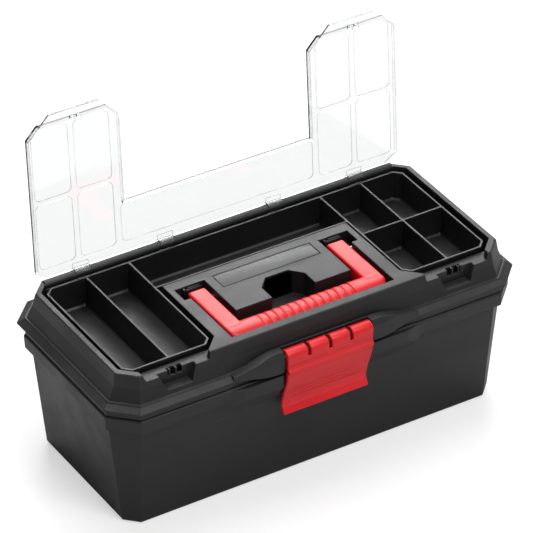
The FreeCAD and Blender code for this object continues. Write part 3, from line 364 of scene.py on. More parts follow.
@dataclass(frozen=True)
class MouldedFinish:
    """Injection-moulded plastic with mould grain, rubbed edges, scuffs and a little dust."""

    name: str
    colour: tuple[float, float, float, float]
    deep_colour: tuple[float, float, float, float]
    worn_colour: tuple[float, float, float, float]
    roughness: float
    roughness_spread: float
    pebbles: float
    grain_height: float
    edge_radius: float = 1.2 * MM
    edge_mask: float = 0.4
    scuffs: float = 0.35
    dust: float = 0.1
    specular: float = 0.5
    subsurface: float = 0.0

    def material(self, effects: SharedEffects) -> bpy.types.Material:
        """Builds the material.

        Args:
            effects: the shared node groups.

        Returns:
            The finished material.
        """
        material, w = empty_material(self.name, self.colour)
        place = w.node("ShaderNodeTexCoord").outputs["Object"]
        flat = w.node("ShaderNodeNewGeometry").outputs["Normal"]
        rounding = w.node("ShaderNodeBevel", samples=6)
        rounding.inputs["Radius"].default_value = self.edge_radius
        rounded = rounding.outputs["Normal"]
        grain = w.place(effects.grain, vector=place, pebbles=self.pebbles)
        rubbed = w.place(effects.edge_mask, vector=place, rounded=rounded, flat=flat, amount=self.edge_mask)
        edge_mask = rubbed.outputs["Mask"]
        scuffs = w.place(effects.scuffs, vector=place, amount=self.scuffs).outputs["Mask"]
        dust = w.place(effects.dust, vector=place, normal=flat, amount=self.dust).outputs["Mask"]
        shader = w.node("ShaderNodeBsdfPrincipled")
        body = w.blend(grain.outputs["Blotch"], self.deep_colour, self.colour)
        body = w.blend(w.math("MAXIMUM", edge_mask, scuffs), body, self.worn_colour)
        body = w.blend(dust, body, (0.55, 0.53, 0.5, 1.0))
        w.join(body, shader.inputs["Base Color"])
        low = self.roughness - self.roughness_spread
        high = self.roughness + self.roughness_spread
        satin = w.span(grain.outputs["Flow"], 0.0, 1.0, low, high)
        scuffed = w.math("ADD", satin, w.math("MULTIPLY", scuffs, 0.25))
        w.join(w.math("ADD", scuffed, w.math("MULTIPLY", dust, 0.5), clamp=True), shader.inputs["Roughness"])
        shader.inputs["Specular IOR Level"].default_value = self.specular
        shader.inputs["Subsurface Weight"].default_value = self.subsurface
        shader.inputs["Subsurface Scale"].default_value = 2.0 * MM
        bump = w.node("ShaderNodeBump")
        bump.inputs["Strength"].default_value = 1.0
        bump.inputs["Distance"].default_value = self.grain_height
        w.join(grain.outputs["Height"], bump.inputs["Height"])
        w.join(rounded, bump.inputs["Normal"])
        w.join(bump.outputs["Normal"], shader.inputs["Normal"])
        w.join(shader.outputs["BSDF"], material.node_tree.nodes["Surface Out"].inputs["Surface"])
        return material


@dataclass(frozen=True)
class ClearFinish:
    """Clear moulded sheet: glassy, with a faint haze and hairline scuffs, and painted grey shade along its rounded
    rims that stands in for refraction.
    """

    name: str = "clear_sheet"
    tint: tuple[float, float, float, float] = (0.955, 0.96, 0.962, 1.0)
    roughness: float = 0.06
    # grey of the painted shade on the rounded rims, standing in for refraction
    painted_rim_shade_tint: tuple[float, float, float, float] = (0.42, 0.43, 0.44, 1.0)
    edge_radius: float = 1.3 * MM
    refraction: float = 1.5
    absorption: float = 30.0

    def material(self, effects: SharedEffects) -> bpy.types.Material:
        """Builds the material.

        Args:
            effects: the shared node groups.

        Returns:
            The finished material.
        """
        material, w = empty_material(self.name, self.tint[:3] + (0.3,))
        place = w.node("ShaderNodeTexCoord").outputs["Object"]
        scuffs = w.place(effects.scuffs, vector=place, amount=0.5).outputs["Mask"]
        flat = w.node("ShaderNodeNewGeometry").outputs["Normal"]
        rounding = w.node("ShaderNodeBevel", samples=6)
        rounding.inputs["Radius"].default_value = self.edge_radius
        # painted shade: the edge mask darkens the sheet's rounded rims towards a grey tint, standing in for
        # refraction
        painted_rim_shade = w.place(effects.edge_mask, vector=place, rounded=rounding.outputs["Normal"], flat=flat,
                      amount=1.6).outputs["Mask"]
        glass = w.node("ShaderNodeBsdfPrincipled")
        w.join(w.blend(painted_rim_shade, self.tint, self.painted_rim_shade_tint), glass.inputs["Base Color"])
        glass.inputs["Transmission Weight"].default_value = 1.0
        glass.inputs["IOR"].default_value = self.refraction
        haze = w.span(w.noise(place, 18.0, 3.0), 0.3, 0.8, self.roughness * 0.5, self.roughness * 1.6)
        rough = w.math("MULTIPLY_ADD", scuffs, 0.3)
        w.join(haze, rough.node.inputs[2])
        w.join(rough, glass.inputs["Roughness"])
        waves = w.node("ShaderNodeBump")
        waves.inputs["Distance"].default_value = 0.05 * MM
        w.join(w.noise(place, 55.0, 2.0), waves.inputs["Height"])
        w.join(waves.outputs["Normal"], glass.inputs["Normal"])
        through = w.node("ShaderNodeBsdfTransparent")
        through.inputs["Color"].default_value = (0.9, 0.91, 0.92, 1.0)
        mix = w.node("ShaderNodeMixShader")
        w.join(w.node("ShaderNodeLightPath").outputs["Is Shadow Ray"], mix.inputs["Fac"])
        w.join(glass.outputs["BSDF"], mix.inputs[1])
        w.join(through.outputs["BSDF"], mix.inputs[2])
        w.join(mix.outputs["Shader"], material.node_tree.nodes["Surface Out"].inputs["Surface"])
        depth = w.node("ShaderNodeVolumeAbsorption")
        depth.inputs["Color"].default_value = (0.55, 0.57, 0.58, 1.0)
        depth.inputs["Density"].default_value = self.absorption
        w.join(depth.outputs["Volume"], material.node_tree.nodes["Surface Out"].inputs["Volume"])
        return material


@dataclass(frozen=True)
class WireFinish:
    """Drawn steel wire: fine rings of draw marks and slight tarnish."""

    name: str = "drawn_steel"
    bright: tuple[float, float, float, float] = (0.62, 0.62, 0.63, 1.0)
    dull: tuple[float, float, float, float] = (0.36, 0.35, 0.34, 1.0)
    roughness: float = 0.28

    def material(self, effects: SharedEffects) -> bpy.types.Material:
        """Builds the material.

        Args:
            effects: the shared node groups.

        Returns:
            The finished material.
        """
        material, w = empty_material(self.name, self.bright)
        place = w.node("ShaderNodeTexCoord").outputs["Object"]
        marks = w.noise(w.stretched(place, (30.0, 2600.0, 2600.0)), 1.0, 3.0, 0.6)
        tarnish = w.span(w.noise(place, 240.0, 4.0, 0.6), 0.45, 0.7)
        shader = w.node("ShaderNodeBsdfPrincipled")
        shader.inputs["Metallic"].default_value = 1.0
        w.join(w.blend(tarnish, self.bright, self.dull), shader.inputs["Base Color"])
        w.join(w.span(marks, 0.3, 0.7, self.roughness - 0.08, self.roughness + 0.16), shader.inputs["Roughness"])
        bump = w.node("ShaderNodeBump")
        bump.inputs["Distance"].default_value = 0.02 * MM
        w.join(marks, bump.inputs["Height"])
        w.join(bump.outputs["Normal"], shader.inputs["Normal"])
        w.join(shader.outputs["BSDF"], material.node_tree.nodes["Surface Out"].inputs["Surface"])
        return material


BLACK_SHELL = MouldedFinish("shell_grained_black", (0.0128, 0.0125, 0.0142, 1), (0.0108, 0.0105, 0.0121, 1),
                            (0.06, 0.06, 0.062, 1), 0.44, 0.05, 1500.0, 0.05 * MM, 1.3 * MM)
BLACK_BINS = MouldedFinish("organiser_satin_black", (0.010, 0.010, 0.0107, 1), (0.008, 0.008, 0.0087, 1),
                           (0.06, 0.06, 0.062, 1), 0.38, 0.05, 1900.0, 0.025 * MM, 0.9 * MM, dust=0.06)
RED_SATIN = MouldedFinish("red_satin", (0.82, 0.011, 0.018, 1), (0.76, 0.008, 0.014, 1),
                          (0.9, 0.10, 0.09, 1), 0.33, 0.05, 1300.0, 0.035 * MM, 1.1 * MM, edge_mask=0.3, scuffs=0.25,
                          dust=0.04, subsurface=0.08)
GREY_TRAY = MouldedFinish("tray_grained_grey", (0.055, 0.055, 0.058, 1), (0.043, 0.043, 0.046, 1),
                          (0.12, 0.12, 0.12, 1), 0.5, 0.05, 1500.0, 0.05 * MM)
BLACK_LABEL = MouldedFinish("label_smooth_black", (0.020, 0.020, 0.0215, 1), (0.017, 0.017, 0.0182, 1),
                            (0.07, 0.07, 0.072, 1), 0.3, 0.04, 1900.0, 0.01 * MM, 0.3 * MM, dust=0.05)


@dataclass
class Palette:
    """Every material of the box, by slot."""

    effects: SharedEffects
    materials: dict[Slot, bpy.types.Material] = field(init=False)

    def __post_init__(self) -> None:
        """Builds one material for each slot."""
        finishes = {Slot.SHELL: BLACK_SHELL, Slot.ORGANISER: BLACK_BINS, Slot.COVER: ClearFinish(),
                    Slot.RED: RED_SATIN, Slot.STEEL: WireFinish(), Slot.TRAY: GREY_TRAY,
                    Slot.LABEL: BLACK_LABEL}
        self.materials = {slot: finish.material(self.effects) for slot, finish in finishes.items()}

    def dress(self, node: str, slot: Slot) -> None:
        """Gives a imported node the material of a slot."""
        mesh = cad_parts[node].data
        mesh.materials.clear()
        mesh.materials.append(self.materials[slot])
        LOG.info("dressed %s as %s", node, slot.value)


# --- Surface helpers -------------------------------------------------------------------------------
Shell = tuple[np.ndarray, list[tuple[int, ...]]]


def wrap_sections(sections: np.ndarray) -> Shell:
    """Joins closed sections along a path into one closed shell.

    Each section is a ring of points, and the point (i, j) is joined to (i + 1, j), (i + 1, j + 1) and (i, j + 1),
    with j counted round the ring. The first and last rings are filled with one face each.

    Args:
        sections: array of shape (rings, points, 3), rings seen anticlockwise from the path's end.

    Returns:
        Points and faces.
    """
    rings, count = sections.shape[:2]
    index = np.arange(rings * count).reshape(rings, count)
    ahead = np.roll(index, -1, axis=1)
    quads = np.stack([index[:-1], ahead[:-1], ahead[1:], index[1:]], axis=-1).reshape(-1, 4)
    faces = [tuple(face) for face in quads.tolist()]
    faces.append(tuple(index[0, ::-1].tolist()))
    faces.append(tuple(index[-1].tolist()))
    return sections.reshape(-1, 3), faces


def gather(shells: list[Shell]) -> Shell:
    """Puts several shells into one list of points and faces."""
    points, faces, start = [], [], 0
    for shell_points, shell_faces in shells:
        points.append(shell_points)
        faces.extend(tuple(i + start for i in face) for face in shell_faces)
        start += len(shell_points)
    return np.concatenate(points), faces


def mesh_piece(name: str, shell: Shell, material: bpy.types.Material,
               smooth_angle: float = 35.0) -> bpy.types.Object:
    """Makes an object from points in millimetres.

    Args:
        name: the piece's name.
        shell: its points and faces.
        material: its finish.
        smooth_angle: edges sharper than this, in degrees, stay crisp.

    Returns:
        The object, at the origin, with its place in its mesh.
    """
    points, faces = shell
    mesh = bpy.data.meshes.new(name)
    mesh.from_pydata((points * MM).tolist(), [], faces)
    mesh.validate()
    mesh.materials.append(material)
    mesh.set_sharp_from_angle(angle=math.radians(smooth_angle))
    mesh.polygons.foreach_set("use_smooth", np.ones(len(mesh.polygons), bool))
    piece = bpy.data.objects.new(name, mesh)
    bpy.context.scene.collection.objects.link(piece)
    return piece


def rounded_outline(corners: np.ndarray, radii: np.ndarray, steps: int = 10) -> tuple[np.ndarray, np.ndarray]:
    """A convex or concave outline with rounded corners, and its outward directions.

    At each corner the arc starts and ends a distance r times tan(turn / 2) from the corner, and its points are the
    centre plus r times a direction that swings evenly from one side's normal to the next one's.

    Args:
        corners: array (n, 2), anticlockwise.
        radii: radius at each corner.
        steps: points in each arc.

    Returns:
        Points (n * steps, 2) and unit outward directions of the same shape.
    """
    before = corners - np.roll(corners, 1, axis=0)
    before = before / np.linalg.norm(before, axis=1, keepdims=True)
    after = np.roll(before, -1, axis=0)
    cross = before[:, 0] * after[:, 1] - before[:, 1] * after[:, 0]
    turn = np.arctan2(cross, np.sum(before * after, axis=1))
    reach = np.abs(radii * np.tan(turn / 2))
    side = np.sign(turn)
    start_normal = np.stack([before[:, 1], -before[:, 0]], axis=1)
    centre = corners - before * reach[:, None] - start_normal * (radii * side)[:, None]
    swing = turn[:, None] * np.linspace(0, 1, steps)[None, :]
    cos, sin = np.cos(swing), np.sin(swing)
    nx = start_normal[:, :1] * cos - start_normal[:, 1:] * sin
    ny = start_normal[:, :1] * sin + start_normal[:, 1:] * cos
    normals = np.stack([nx, ny], axis=-1)
    points = centre[:, None, :] + normals * (radii * side)[:, None, None]
    return points.reshape(-1, 2), normals.reshape(-1, 2)


def soft_slab(points: np.ndarray, normals: np.ndarray, low: float, high: float, edge: float,
              steps: int = 6) -> np.ndarray:
    """Sections of a slab with rounded rims, as (inset outline, height).

    At each end the outline moves in by edge times (1 - cos a) while the height moves by edge times (1 - sin a),
    with a from 90 degrees at the flat end to 0 at the upright side, which is a quarter circle.

    Args:
        points: the outline.
        normals: its outward directions.
        low: height of the lower face.
        high: height of the upper face.
        edge: radius of the rims.
        steps: points in each quarter circle.

    Returns:
        Array (rings, points, 3) whose last column is the height.
    """
    angle = np.linspace(np.pi / 2, 0, steps)
    inset = edge * (1 - np.cos(angle))
    drop = edge * (1 - np.sin(angle))
    insets = np.concatenate([inset, inset[::-1]])
    heights = np.concatenate([low + drop, (high - drop)[::-1]])
    rings = points[None] - normals[None] * insets[:, None, None]
    column = np.broadcast_to(heights[:, None, None], rings.shape[:2] + (1,))
    return np.concatenate([rings, column], axis=-1)


def smooth_through(knots: np.ndarray, count: int) -> np.ndarray:
    """A smooth curve through knots, evenly spaced along its chords.

    Each span is a cubic whose slopes at its ends are half the step between the neighbouring knots.

    Args:
        knots: array (n, 2).
        count: number of points wanted.

    Returns:
        Array (count, 2).
    """
    slopes = np.gradient(knots, axis=0)
    place = np.linspace(0, len(knots) - 1, count * 4)
    span = np.minimum(place.astype(int), len(knots) - 2)
    t = (place - span)[:, None]
    a, b = knots[span], knots[span + 1]
    ma, mb = slopes[span], slopes[span + 1]
    fine = ((2 * t**3 - 3 * t**2 + 1) * a + (t**3 - 2 * t**2 + t) * ma
            + (3 * t**2 - 2 * t**3) * b + (t**3 - t**2) * mb)
    step = np.concatenate([[0], np.cumsum(np.linalg.norm(np.diff(fine, axis=0), axis=1))])
    even = np.linspace(0, step[-1], count)
    return np.stack([np.interp(even, step, fine[:, 0]), np.interp(even, step, fine[:, 1])], axis=1)


# --- Sub-assemblies --------------------------------------------------------------------------------
@dataclass
class CarryHandle:
    """The red bail handle: two soft-edged arms and a ribbed grip. Sizes in millimetres."""

    half_width: float = 76.3
    arm_width: float = 16.5
    arm_height: float = 15.0
    top: float = 150.7
    pivot: tuple[float, float] = (-2.0, 143.2)
    pivot_radius: float = 7.5
    grip: tuple[float, float] = (-57.6, 141.4)
    grip_radius: float = 9.3
    grip_widening: float = 2.4
    corner: float = 8.0
    rib_count: int = 12
    rib_pitch: float = 7.4
    groove_depth: float = 1.0
    groove_width: float = 0.9
    edge: float = 1.9

    def arm(self, side: int) -> Shell:
        """One arm: a side outline with a round front and a rounder foot, spread along X with soft rims.

        Args:
            side: 1 for the right arm, -1 for the left.

        Returns:
            Points and faces.
        """
        back = self.pivot[0] + self.pivot_radius
        front = self.grip[0]
        low = self.pivot[1] - self.pivot_radius
        corners = np.array([(front, low), (back, low), (back, self.top), (front, self.top)])
        outline, out = rounded_outline(corners, np.array([2.0, 5.5, 2.4, 2.0]), 14)
        x1 = self.half_width
        x0 = x1 - self.arm_width
        rings = soft_slab(outline, out, x0, x1, self.edge)
        rings = rings[:, :, [2, 0, 1]]
        if side < 0:
            rings = rings * np.array([-1.0, 1.0, 1.0])
            rings = rings[:, ::-1]
        return wrap_sections(rings)

    def grip_radius_at(self, x: np.ndarray) -> np.ndarray:
        """The grip's radius along X: each rib is a shallow crown, and each groove a rounded notch.

        The crown takes away 0.5 times the square of the distance from the rib's middle, in half pitches, and the
        groove takes away its depth times exp(-(distance from the groove / half its width) squared).
        """
        half = self.rib_count * self.rib_pitch / 2
        place = (x + half) / self.rib_pitch
        from_middle = 2 * np.abs(place - np.floor(place) - 0.5)
        from_groove = np.abs(place - np.round(place)) * self.rib_pitch
        ribbed = (np.abs(x) <= half + self.groove_width * 0.5).astype(float)
        crown = 0.5 * from_middle**2
        groove = self.groove_depth * np.exp(-((from_groove / (self.groove_width / 2)) ** 2))
        return self.grip_radius - ribbed * np.maximum(crown * (np.abs(x) < half), groove)

    def bar(self) -> Shell:
        """The grip from corner to corner: a round bar widened front to back, with its front corners rounded.

        Ring i is a circle of the grip's radius whose front half is moved forward, and whose back half is moved back,
        by the widening. Near the ends the radius shrinks by the soft edge, edge minus the square root of edge squared
        minus (distance past the edge's start) squared, and the front half moves back the same way by the corner.
        """
        x = np.concatenate([np.linspace(0, 47.0, 520), np.linspace(47.2, self.half_width - 9, 30),
                            self.half_width - 9 * np.cos(np.linspace(0, np.pi / 2, 30))[1:]])
        x = np.concatenate([-x[:0:-1], x])

        def rounding(radius: float) -> np.ndarray:
            past = np.clip(np.abs(x) - (self.half_width - radius), 0, radius)
            return radius - np.sqrt(radius**2 - past**2)

        radius = self.grip_radius_at(x) - rounding(self.edge)
        turn = np.linspace(0, 2 * np.pi, 80, endpoint=False) + np.pi / 80
        ahead = (np.cos(turn) < 0).astype(float)
        widening = np.where(ahead > 0, -self.grip_widening, self.grip_widening)
        setback = rounding(self.corner)[:, None] * ahead[None] * -np.cos(turn)[None]
        y = self.grip[0] + widening[None] + radius[:, None] * np.cos(turn)[None] + setback
        z = self.grip[1] + radius[:, None] * np.sin(turn)[None]
        return wrap_sections(np.stack([np.broadcast_to(x[:, None], y.shape), y, z], axis=-1))

    def build(self, palette: Palette) -> None:
        """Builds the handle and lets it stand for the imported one."""
        shell = gather([self.arm(1), self.arm(-1), self.bar()])
        piece = mesh_piece("carry_handle_moulding", shell, palette.materials[Slot.RED])
        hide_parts("carry_handle")
        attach(piece, Body.HANDLE.value)
        for node in ("handle_pin_left", "handle_pin_right"):
            palette.dress(node, Slot.STEEL)
        LOG.info("built %s", piece.name)


@dataclass
class FrontLatch:
    """The wide red latch: knuckles, a step, a slanting panel and a finger lip. Sizes in millimetres."""

    half_width: float = 41.5
    pin: tuple[float, float] = (-92.2, 131.6)
    knuckle_radius: float = 6.0
    bore_radius: float = 1.6
    wall: float = 2.4
    slot_pitch: float = 20.5
    slot_half: float = 1.5
    return_wall: float = 2.0
    soft_edge: float = 1.3
    knuckle_edge: float = 0.9
    groove_count: int = 3
    groove_drop: float = 36.5
    groove_step: float = 4.6
    groove_reach: float = 32.0
    groove_depth: float = 0.6

    def front_line(self) -> np.ndarray:
        """The front profile below the knuckle, as (distance in front of the pin, drop below it)."""
        r = self.knuckle_radius
        t = np.linspace(0, 1, 9)
        ease = t * t * (3 - 2 * t)
        top = np.array([(r - 0.1, 3.4), (r - 0.3, 6.5), (r - 0.4, 9.6), (r - 0.2, 10.7), (r + 0.8, 11.4),
                        (r + 1.55, 11.9), (r + 1.7, 12.6), (r + 1.65, 13.6), (r + 1.5, 14.6), (r + 0.7, 15.3)])
        panel = np.stack([r - 0.2 - 9.4 * ease, 15.8 + 36.7 * t], axis=1)
        lip = np.stack([r - 9.5 + 3.4 * ease[2:], 53.4 + 7.0 * t[2:]], axis=1)
        return np.concatenate([top, panel, lip])

    def depth_at(self, drop: np.ndarray) -> np.ndarray:
        """How far the side returns run back behind the face, easing from the knuckles down to the slanting panel."""
        t = np.clip(drop / 32.0, 0, 1)
        return 5.9 - 2.6 * t * t * (3 - 2 * t)

    def relief(self, x: np.ndarray, drop: np.ndarray) -> np.ndarray:
        """Depth of the plain grip grooves across the panel, in place of any lettering.

        Each groove is the product of two soft steps, one down and one across, times the groove's depth.
        """
        def inside(value: np.ndarray, low: float, high: float, soft: float) -> np.ndarray:
            rise = np.clip((value - low) / soft + 0.5, 0, 1)
            fall = np.clip((high - value) / soft + 0.5, 0, 1)
            step = np.minimum(rise, fall)
            return step * step * (3 - 2 * step)

        across = inside(x, -self.groove_reach, self.groove_reach, 0.8)
        grooves = np.zeros_like(x)
        for row in range(self.groove_count):
            middle = self.groove_drop + self.groove_step * row
            grooves = np.maximum(grooves, inside(drop, middle - 0.45, middle + 0.45, 0.7) * across)
        return -self.groove_depth * grooves

    def side_return(self) -> tuple[np.ndarray, np.ndarray, np.ndarray]:
        """The right end of the section, from the face round the return to the back of the plate.

        It is four quarter circles joined by straight lines: the face's soft edge, the two edges of the return's end,
        and the fillet inside.

        Returns:
            x of each point, its place behind the face, and 1 where that place is counted from the return's end.
        """
        turn = np.linspace(0, np.pi / 2, 7)
        cos, sin = np.cos(turn), np.sin(turn)
        half, inner = self.half_width, self.half_width - self.return_wall
        face, end, fillet = self.soft_edge, 0.7, 1.0
        x = np.concatenate([half - face + face * sin[1:], half - end + end * cos, inner + end - end * sin,
                            inner - fillet + fillet * cos])
        behind = np.concatenate([face * (1 - cos[1:]), -end * (1 - sin), -end * (1 - cos),
                                 self.wall + fillet * (1 - sin)])
        from_end = np.concatenate([np.zeros(6), np.ones(14), np.zeros(7)])
        return x, behind, from_end

    def panel(self) -> Shell:
        """The plate below the slots with its two side returns: a C-shaped section carried down the front line.

        Point (i, j) is at the section's x, at the front line's place i moved back by the section's depth, with the
        depths drawn together towards the middle of the wall over the last millimetre at the top and at the lip.
        """
        line = smooth_through(self.front_line(), 260)
        out, drop = line[:, 0], line[:, 1]
        side_x, side_back, from_end = self.side_return()
        front_x = np.linspace(-1, 1, 161) * (self.half_width - self.soft_edge)
        back_x = np.linspace(1, -1, 31)[1:-1] * side_x[-1]
        ring_x = np.concatenate([front_x, side_x, back_x, -side_x[::-1]])
        side = side_back[None] + from_end[None] * self.depth_at(drop)[:, None]
        face = -self.relief(front_x[None] + 0 * drop[:, None], drop[:, None] + 0 * front_x[None])
        plate = np.full((len(drop), len(back_x)), self.wall)
        behind = np.concatenate([face, side, plate, side[:, ::-1]], axis=1)
        room = np.minimum(drop - drop[0], drop[-1] - drop)
        taper = np.sqrt(1 - (1 - np.clip(room / 1.1, 0, 1)) ** 2) * 0.96 + 0.04
        middle = self.wall / 2
        behind = middle + (behind - middle) * taper[:, None]
        y = self.pin[0] - out[:, None] + behind
        z = np.broadcast_to(self.pin[1] - drop[:, None], y.shape)
        rings = np.stack([np.broadcast_to(ring_x[None], y.shape), y, z], axis=-1)
        return wrap_sections(rings[::-1])

    def knuckle(self, x0: float, x1: float) -> Shell:
        """One hooked knuckle: a rounded oblong carried round the pin and down into the panel.

        The path runs round the pin at the middle of the wall, then straight down, and the inner face comes forward
        on the way until the hook is as thick as the panel.

        Args:
            x0: left end.
            x1: right end.

        Returns:
            Points and faces.
        """
        half = (self.knuckle_radius - self.bore_radius) / 2
        middle = self.bore_radius + half
        angle = np.linspace(math.radians(-115), math.radians(180), 64)
        arc_out = np.stack([np.cos(angle), np.sin(angle)], axis=1)
        fall = np.linspace(0, 7.5, 14)[1:]
        down = np.stack([np.full_like(fall, -middle), -fall], axis=1)
        path = np.array(self.pin) + np.concatenate([arc_out * middle, down])
        out = np.concatenate([arc_out, np.tile([-1.0, 0.0], (len(fall), 1))])
        ease = np.concatenate([np.zeros(len(angle)), np.minimum(fall / 5.0, 1)])
        corners = np.array([(x0, -half), (x1, -half), (x1, half), (x0, half)])
        section, _ = rounded_outline(corners, np.full(4, self.knuckle_edge), 7)
        thinner = 1 - ease[:, None] * (2 * half - self.wall) / half
        offset = np.where(section[None, :, 1] > 0, section[None, :, 1], section[None, :, 1] * thinner)
        offset = offset - 0.25 * ease[:, None]
        across = np.broadcast_to(section[None, :, 0], offset.shape)
        back = path[:, :1] + out[:, :1] * offset
        up = path[:, 1:] + out[:, 1:] * offset
        return wrap_sections(np.stack([across, back, up], axis=-1))

    def build(self, palette: Palette) -> None:
        """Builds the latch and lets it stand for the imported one."""
        edges = [-self.half_width]
        for centre in (-self.slot_pitch, 0.0, self.slot_pitch):
            edges += [centre - self.slot_half, centre + self.slot_half]
        edges.append(self.half_width)
        knuckles = [self.knuckle(edges[i], edges[i + 1]) for i in range(0, len(edges), 2)]
        piece = mesh_piece("front_latch_moulding", gather([self.panel()] + knuckles), palette.materials[Slot.RED])
        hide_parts("front_latch")
        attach(piece, Body.LATCH.value)
        palette.dress("latch_pin", Slot.STEEL)
        LOG.info("built %s", piece.name)


@dataclass
class Tub:
    """The open box under the lid, with its two hinge pins."""

    def build(self, palette: Palette) -> None:
        """Dresses the tub and the pins."""
        palette.dress("tub", Slot.SHELL)
        palette.dress("hinge_pin_left", Slot.STEEL)
        palette.dress("hinge_pin_right", Slot.STEEL)


@dataclass
class Lid:
    """The lid's shell, the organiser that lies in it and the blank label plate. Sizes in millimetres."""

    label_half: float = 47.2
    label_span: tuple[float, float] = (-4.8, 12.7)
    label_levels: tuple[float, float] = (151.4, 152.0)
    tab_middle: float = 69.0
    tab_half: float = 8.6

    def label_plate(self) -> Shell:
        """The smooth blank plate in its sunk field: an oblong with soft corners and soft rims."""
        y0, y1 = self.label_span
        corners = np.array([(-self.label_half, y0), (self.label_half, y0), (self.label_half, y1),
                            (-self.label_half, y1)])
        outline, out = rounded_outline(corners, np.full(4, 1.2), 6)
        return wrap_sections(soft_slab(outline, out, *self.label_levels, 0.25, 4))

    def soft_block(self, x: tuple[float, float], y: tuple[float, float], z: tuple[float, float],
                   edge: float = 0.45) -> Shell:
        """A small block with rounded corners and rims, between two values along each axis."""
        corners = np.array([(x[0], y[0]), (x[1], y[0]), (x[1], y[1]), (x[0], y[1])])
        outline, out = rounded_outline(corners, np.full(4, edge), 5)
        return wrap_sections(soft_slab(outline, out, z[0], z[1], edge * 0.8, 4))

    def pivot_tabs(self) -> Shell:
        """The moulded tabs at the back of the pivot pockets: a low ledge, a ridge on it and an upright ear."""
        shells = []
        for side in (-1, 1):
            middle = side * self.tab_middle
            left = middle - self.tab_half
            right = middle + self.tab_half
            ear = left + 1.6
            shells.append(self.soft_block((ear + 1.0, right), (9.4, 12.3), (143.5, 149.6)))
            shells.append(self.soft_block((ear + 3.2, right - 1.2), (10.4, 11.9), (149.2, 150.9)))
            shells.append(self.soft_block((left, ear), (8.6, 12.3), (143.5, 151.3)))
        return gather(shells)

    def build(self, palette: Palette) -> None:
        """Dresses the shell and the organiser, and lays the label plate in."""
        palette.dress("lid_shell", Slot.SHELL)
        palette.dress("organiser_insert", Slot.ORGANISER)
        plate = mesh_piece("label_plate_blank", self.label_plate(), palette.materials[Slot.LABEL])
        tabs = mesh_piece("pivot_pocket_tabs", self.pivot_tabs(), palette.materials[Slot.SHELL])
        for piece in (plate, tabs):
            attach(piece, Body.LID.value)


@dataclass
class ClearCover:
    """The clear flip-up cover."""

    def build(self, palette: Palette) -> None:
        """Dresses the cover."""
        palette.dress("clear_cover", Slot.COVER)


@dataclass
class LiftOutTray:
    """The tray inside the tub."""

    def build(self, palette: Palette) -> None:
        """Dresses the tray."""
        palette.dress("lift_out_tray", Slot.TRAY)


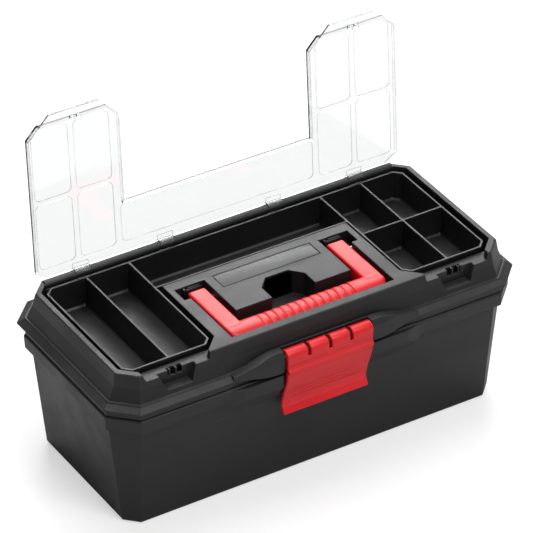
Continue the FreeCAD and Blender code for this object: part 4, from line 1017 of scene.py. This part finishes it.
@dataclass
class Studio:
    """Plain pale floor and backdrop, soft lights and the camera. Sizes in metres and degrees."""

    azimuth: float = -31.63
    elevation: float = 34.43
    distance: float = 3.5677
    target: tuple[float, float, float] = (-0.00234, 0.0, 0.15337)
    lens: float = 288.0
    sensor: float = 36.0
    floor_half: float = 6.0
    floor_level: float = -0.0006

    def pale(self, name: str, value: float, glow: float) -> bpy.types.Material:
        """A matte pale material with a very faint mottle.

        Args:
            name: the material's name.
            value: how pale it is to the light that falls on the box.
            glow: brightness added for the viewer, also through clear sheet, which keeps the surround white.

        Returns:
            The material.
        """
        material, w = empty_material(name, (value, value, value, 1))
        place = w.node("ShaderNodeTexCoord").outputs["Object"]
        shader = w.node("ShaderNodeBsdfPrincipled")
        mottle = w.span(w.noise(place, 3.0, 4.0), 0.3, 0.7)
        colour = w.blend(mottle, (value, value, value, 1), (value * 0.985, value * 0.985, value * 0.985, 1))
        w.join(colour, shader.inputs["Base Color"])
        w.join(w.span(mottle, 0.0, 1.0, 0.82, 0.92), shader.inputs["Roughness"])
        shader.inputs["Specular IOR Level"].default_value = 0.1
        shader.inputs["Emission Strength"].default_value = 1.0
        path = w.node("ShaderNodeLightPath").outputs
        seen = w.math("ADD", path["Is Camera Ray"], w.math("MULTIPLY", path["Is Transmission Ray"], 0.6))
        w.join(w.blend(seen, (0, 0, 0, 1), (glow, glow, glow, 1)), shader.inputs["Emission Color"])
        w.join(shader.outputs["BSDF"], material.node_tree.nodes["Surface Out"].inputs["Surface"])
        return material

    def sweep(self) -> None:
        """Floor and backdrop as one curved sheet: flat, then a quarter circle, then upright."""
        radius = 1.5
        turn = np.linspace(0, np.pi / 2, 24)
        y = np.concatenate([[-self.floor_half], 4.0 + radius * np.sin(turn), [4.0 + radius]])
        z = np.concatenate([[0.0], radius * (1 - np.cos(turn)), [5.0]]) + self.floor_level
        x = np.array([-self.floor_half, self.floor_half])
        points = np.stack(np.broadcast_arrays(x[None, :], y[:, None], z[:, None]), axis=-1).reshape(-1, 3)
        index = np.arange(len(points)).reshape(len(y), 2)
        quads = np.stack([index[:-1, 0], index[:-1, 1], index[1:, 1], index[1:, 0]], axis=-1)
        mesh = bpy.data.meshes.new("studio_sweep")
        mesh.from_pydata(points.tolist(), [], quads.tolist())
        mesh.materials.append(self.pale("studio_pale", 0.62, 0.52))
        mesh.polygons.foreach_set("use_smooth", np.ones(len(mesh.polygons), bool))
        floor = bpy.data.objects.new("studio_sweep", mesh)
        bpy.context.scene.collection.objects.link(floor)

    def panel_light(self, name: str, place: tuple[float, float, float], width: float, power: float) -> None:
        """A square soft light that looks at the box.

        Args:
            name: the light's name.
            place: where it hangs.
            width: its side.
            power: in watts.
        """
        lamp = bpy.data.lights.new(name, "AREA")
        lamp.shape = "SQUARE"
        lamp.size = width
        lamp.energy = power
        holder = bpy.data.objects.new(name, lamp)
        holder.location = place
        aim = Vector((0.0, 0.0, 0.12)) - Vector(place)
        holder.rotation_euler = aim.to_track_quat("-Z", "Y").to_euler()
        bpy.context.scene.collection.objects.link(holder)

    def lights(self) -> None:
        """A large overhead light, one behind for sheen on the tops, a weak key in front and a pale surround."""
        self.panel_light("light_overhead", (0.3, 0.7, 2.6), 1.8, 38.0)
        self.panel_light("light_back", (1.4, 2.3, 1.95), 1.5, 40.0)
        self.panel_light("light_key", (0.2, -1.7, 2.5), 1.2, 34.0)
        world = bpy.data.worlds.new("studio_surround")
        world.use_nodes = True
        world.node_tree.nodes["Background"].inputs["Color"].default_value = (1.0, 1.0, 1.0, 1.0)
        world.node_tree.nodes["Background"].inputs["Strength"].default_value = 0.28
        bpy.context.scene.world = world
        bpy.context.scene.view_settings.view_transform = "Standard"

    def camera(self) -> None:
        """The camera, on a line from the target at the azimuth and elevation."""
        a, e = math.radians(self.azimuth), math.radians(self.elevation)
        back = Vector((math.sin(a) * math.cos(e), -math.cos(a) * math.cos(e), math.sin(e)))
        lens = bpy.data.cameras.new("studio_camera")
        lens.lens = self.lens
        lens.sensor_width = self.sensor
        lens.clip_end = 50.0
        holder = bpy.data.objects.new("studio_camera", lens)
        holder.location = Vector(self.target) + back * self.distance
        holder.rotation_euler = (-back).to_track_quat("-Z", "Y").to_euler()
        bpy.context.scene.collection.objects.link(holder)
        bpy.context.scene.camera = holder

    def build(self) -> None:
        """Sets up the whole studio."""
        self.camera()
        self.sweep()
        self.lights()


def main() -> None:
    """Builds and dresses every sub-assembly."""
    logging.basicConfig(level=logging.INFO, format="%(name)s: %(message)s")
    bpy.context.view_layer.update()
    Studio().build()
    palette = Palette(SharedEffects())
    for part in (Tub(), Lid(), ClearCover(), CarryHandle(), FrontLatch(), LiftOutTray()):
        part.build(palette)
        LOG.info("finished %s", type(part).__name__)


if __name__ == "__main__":
    main()
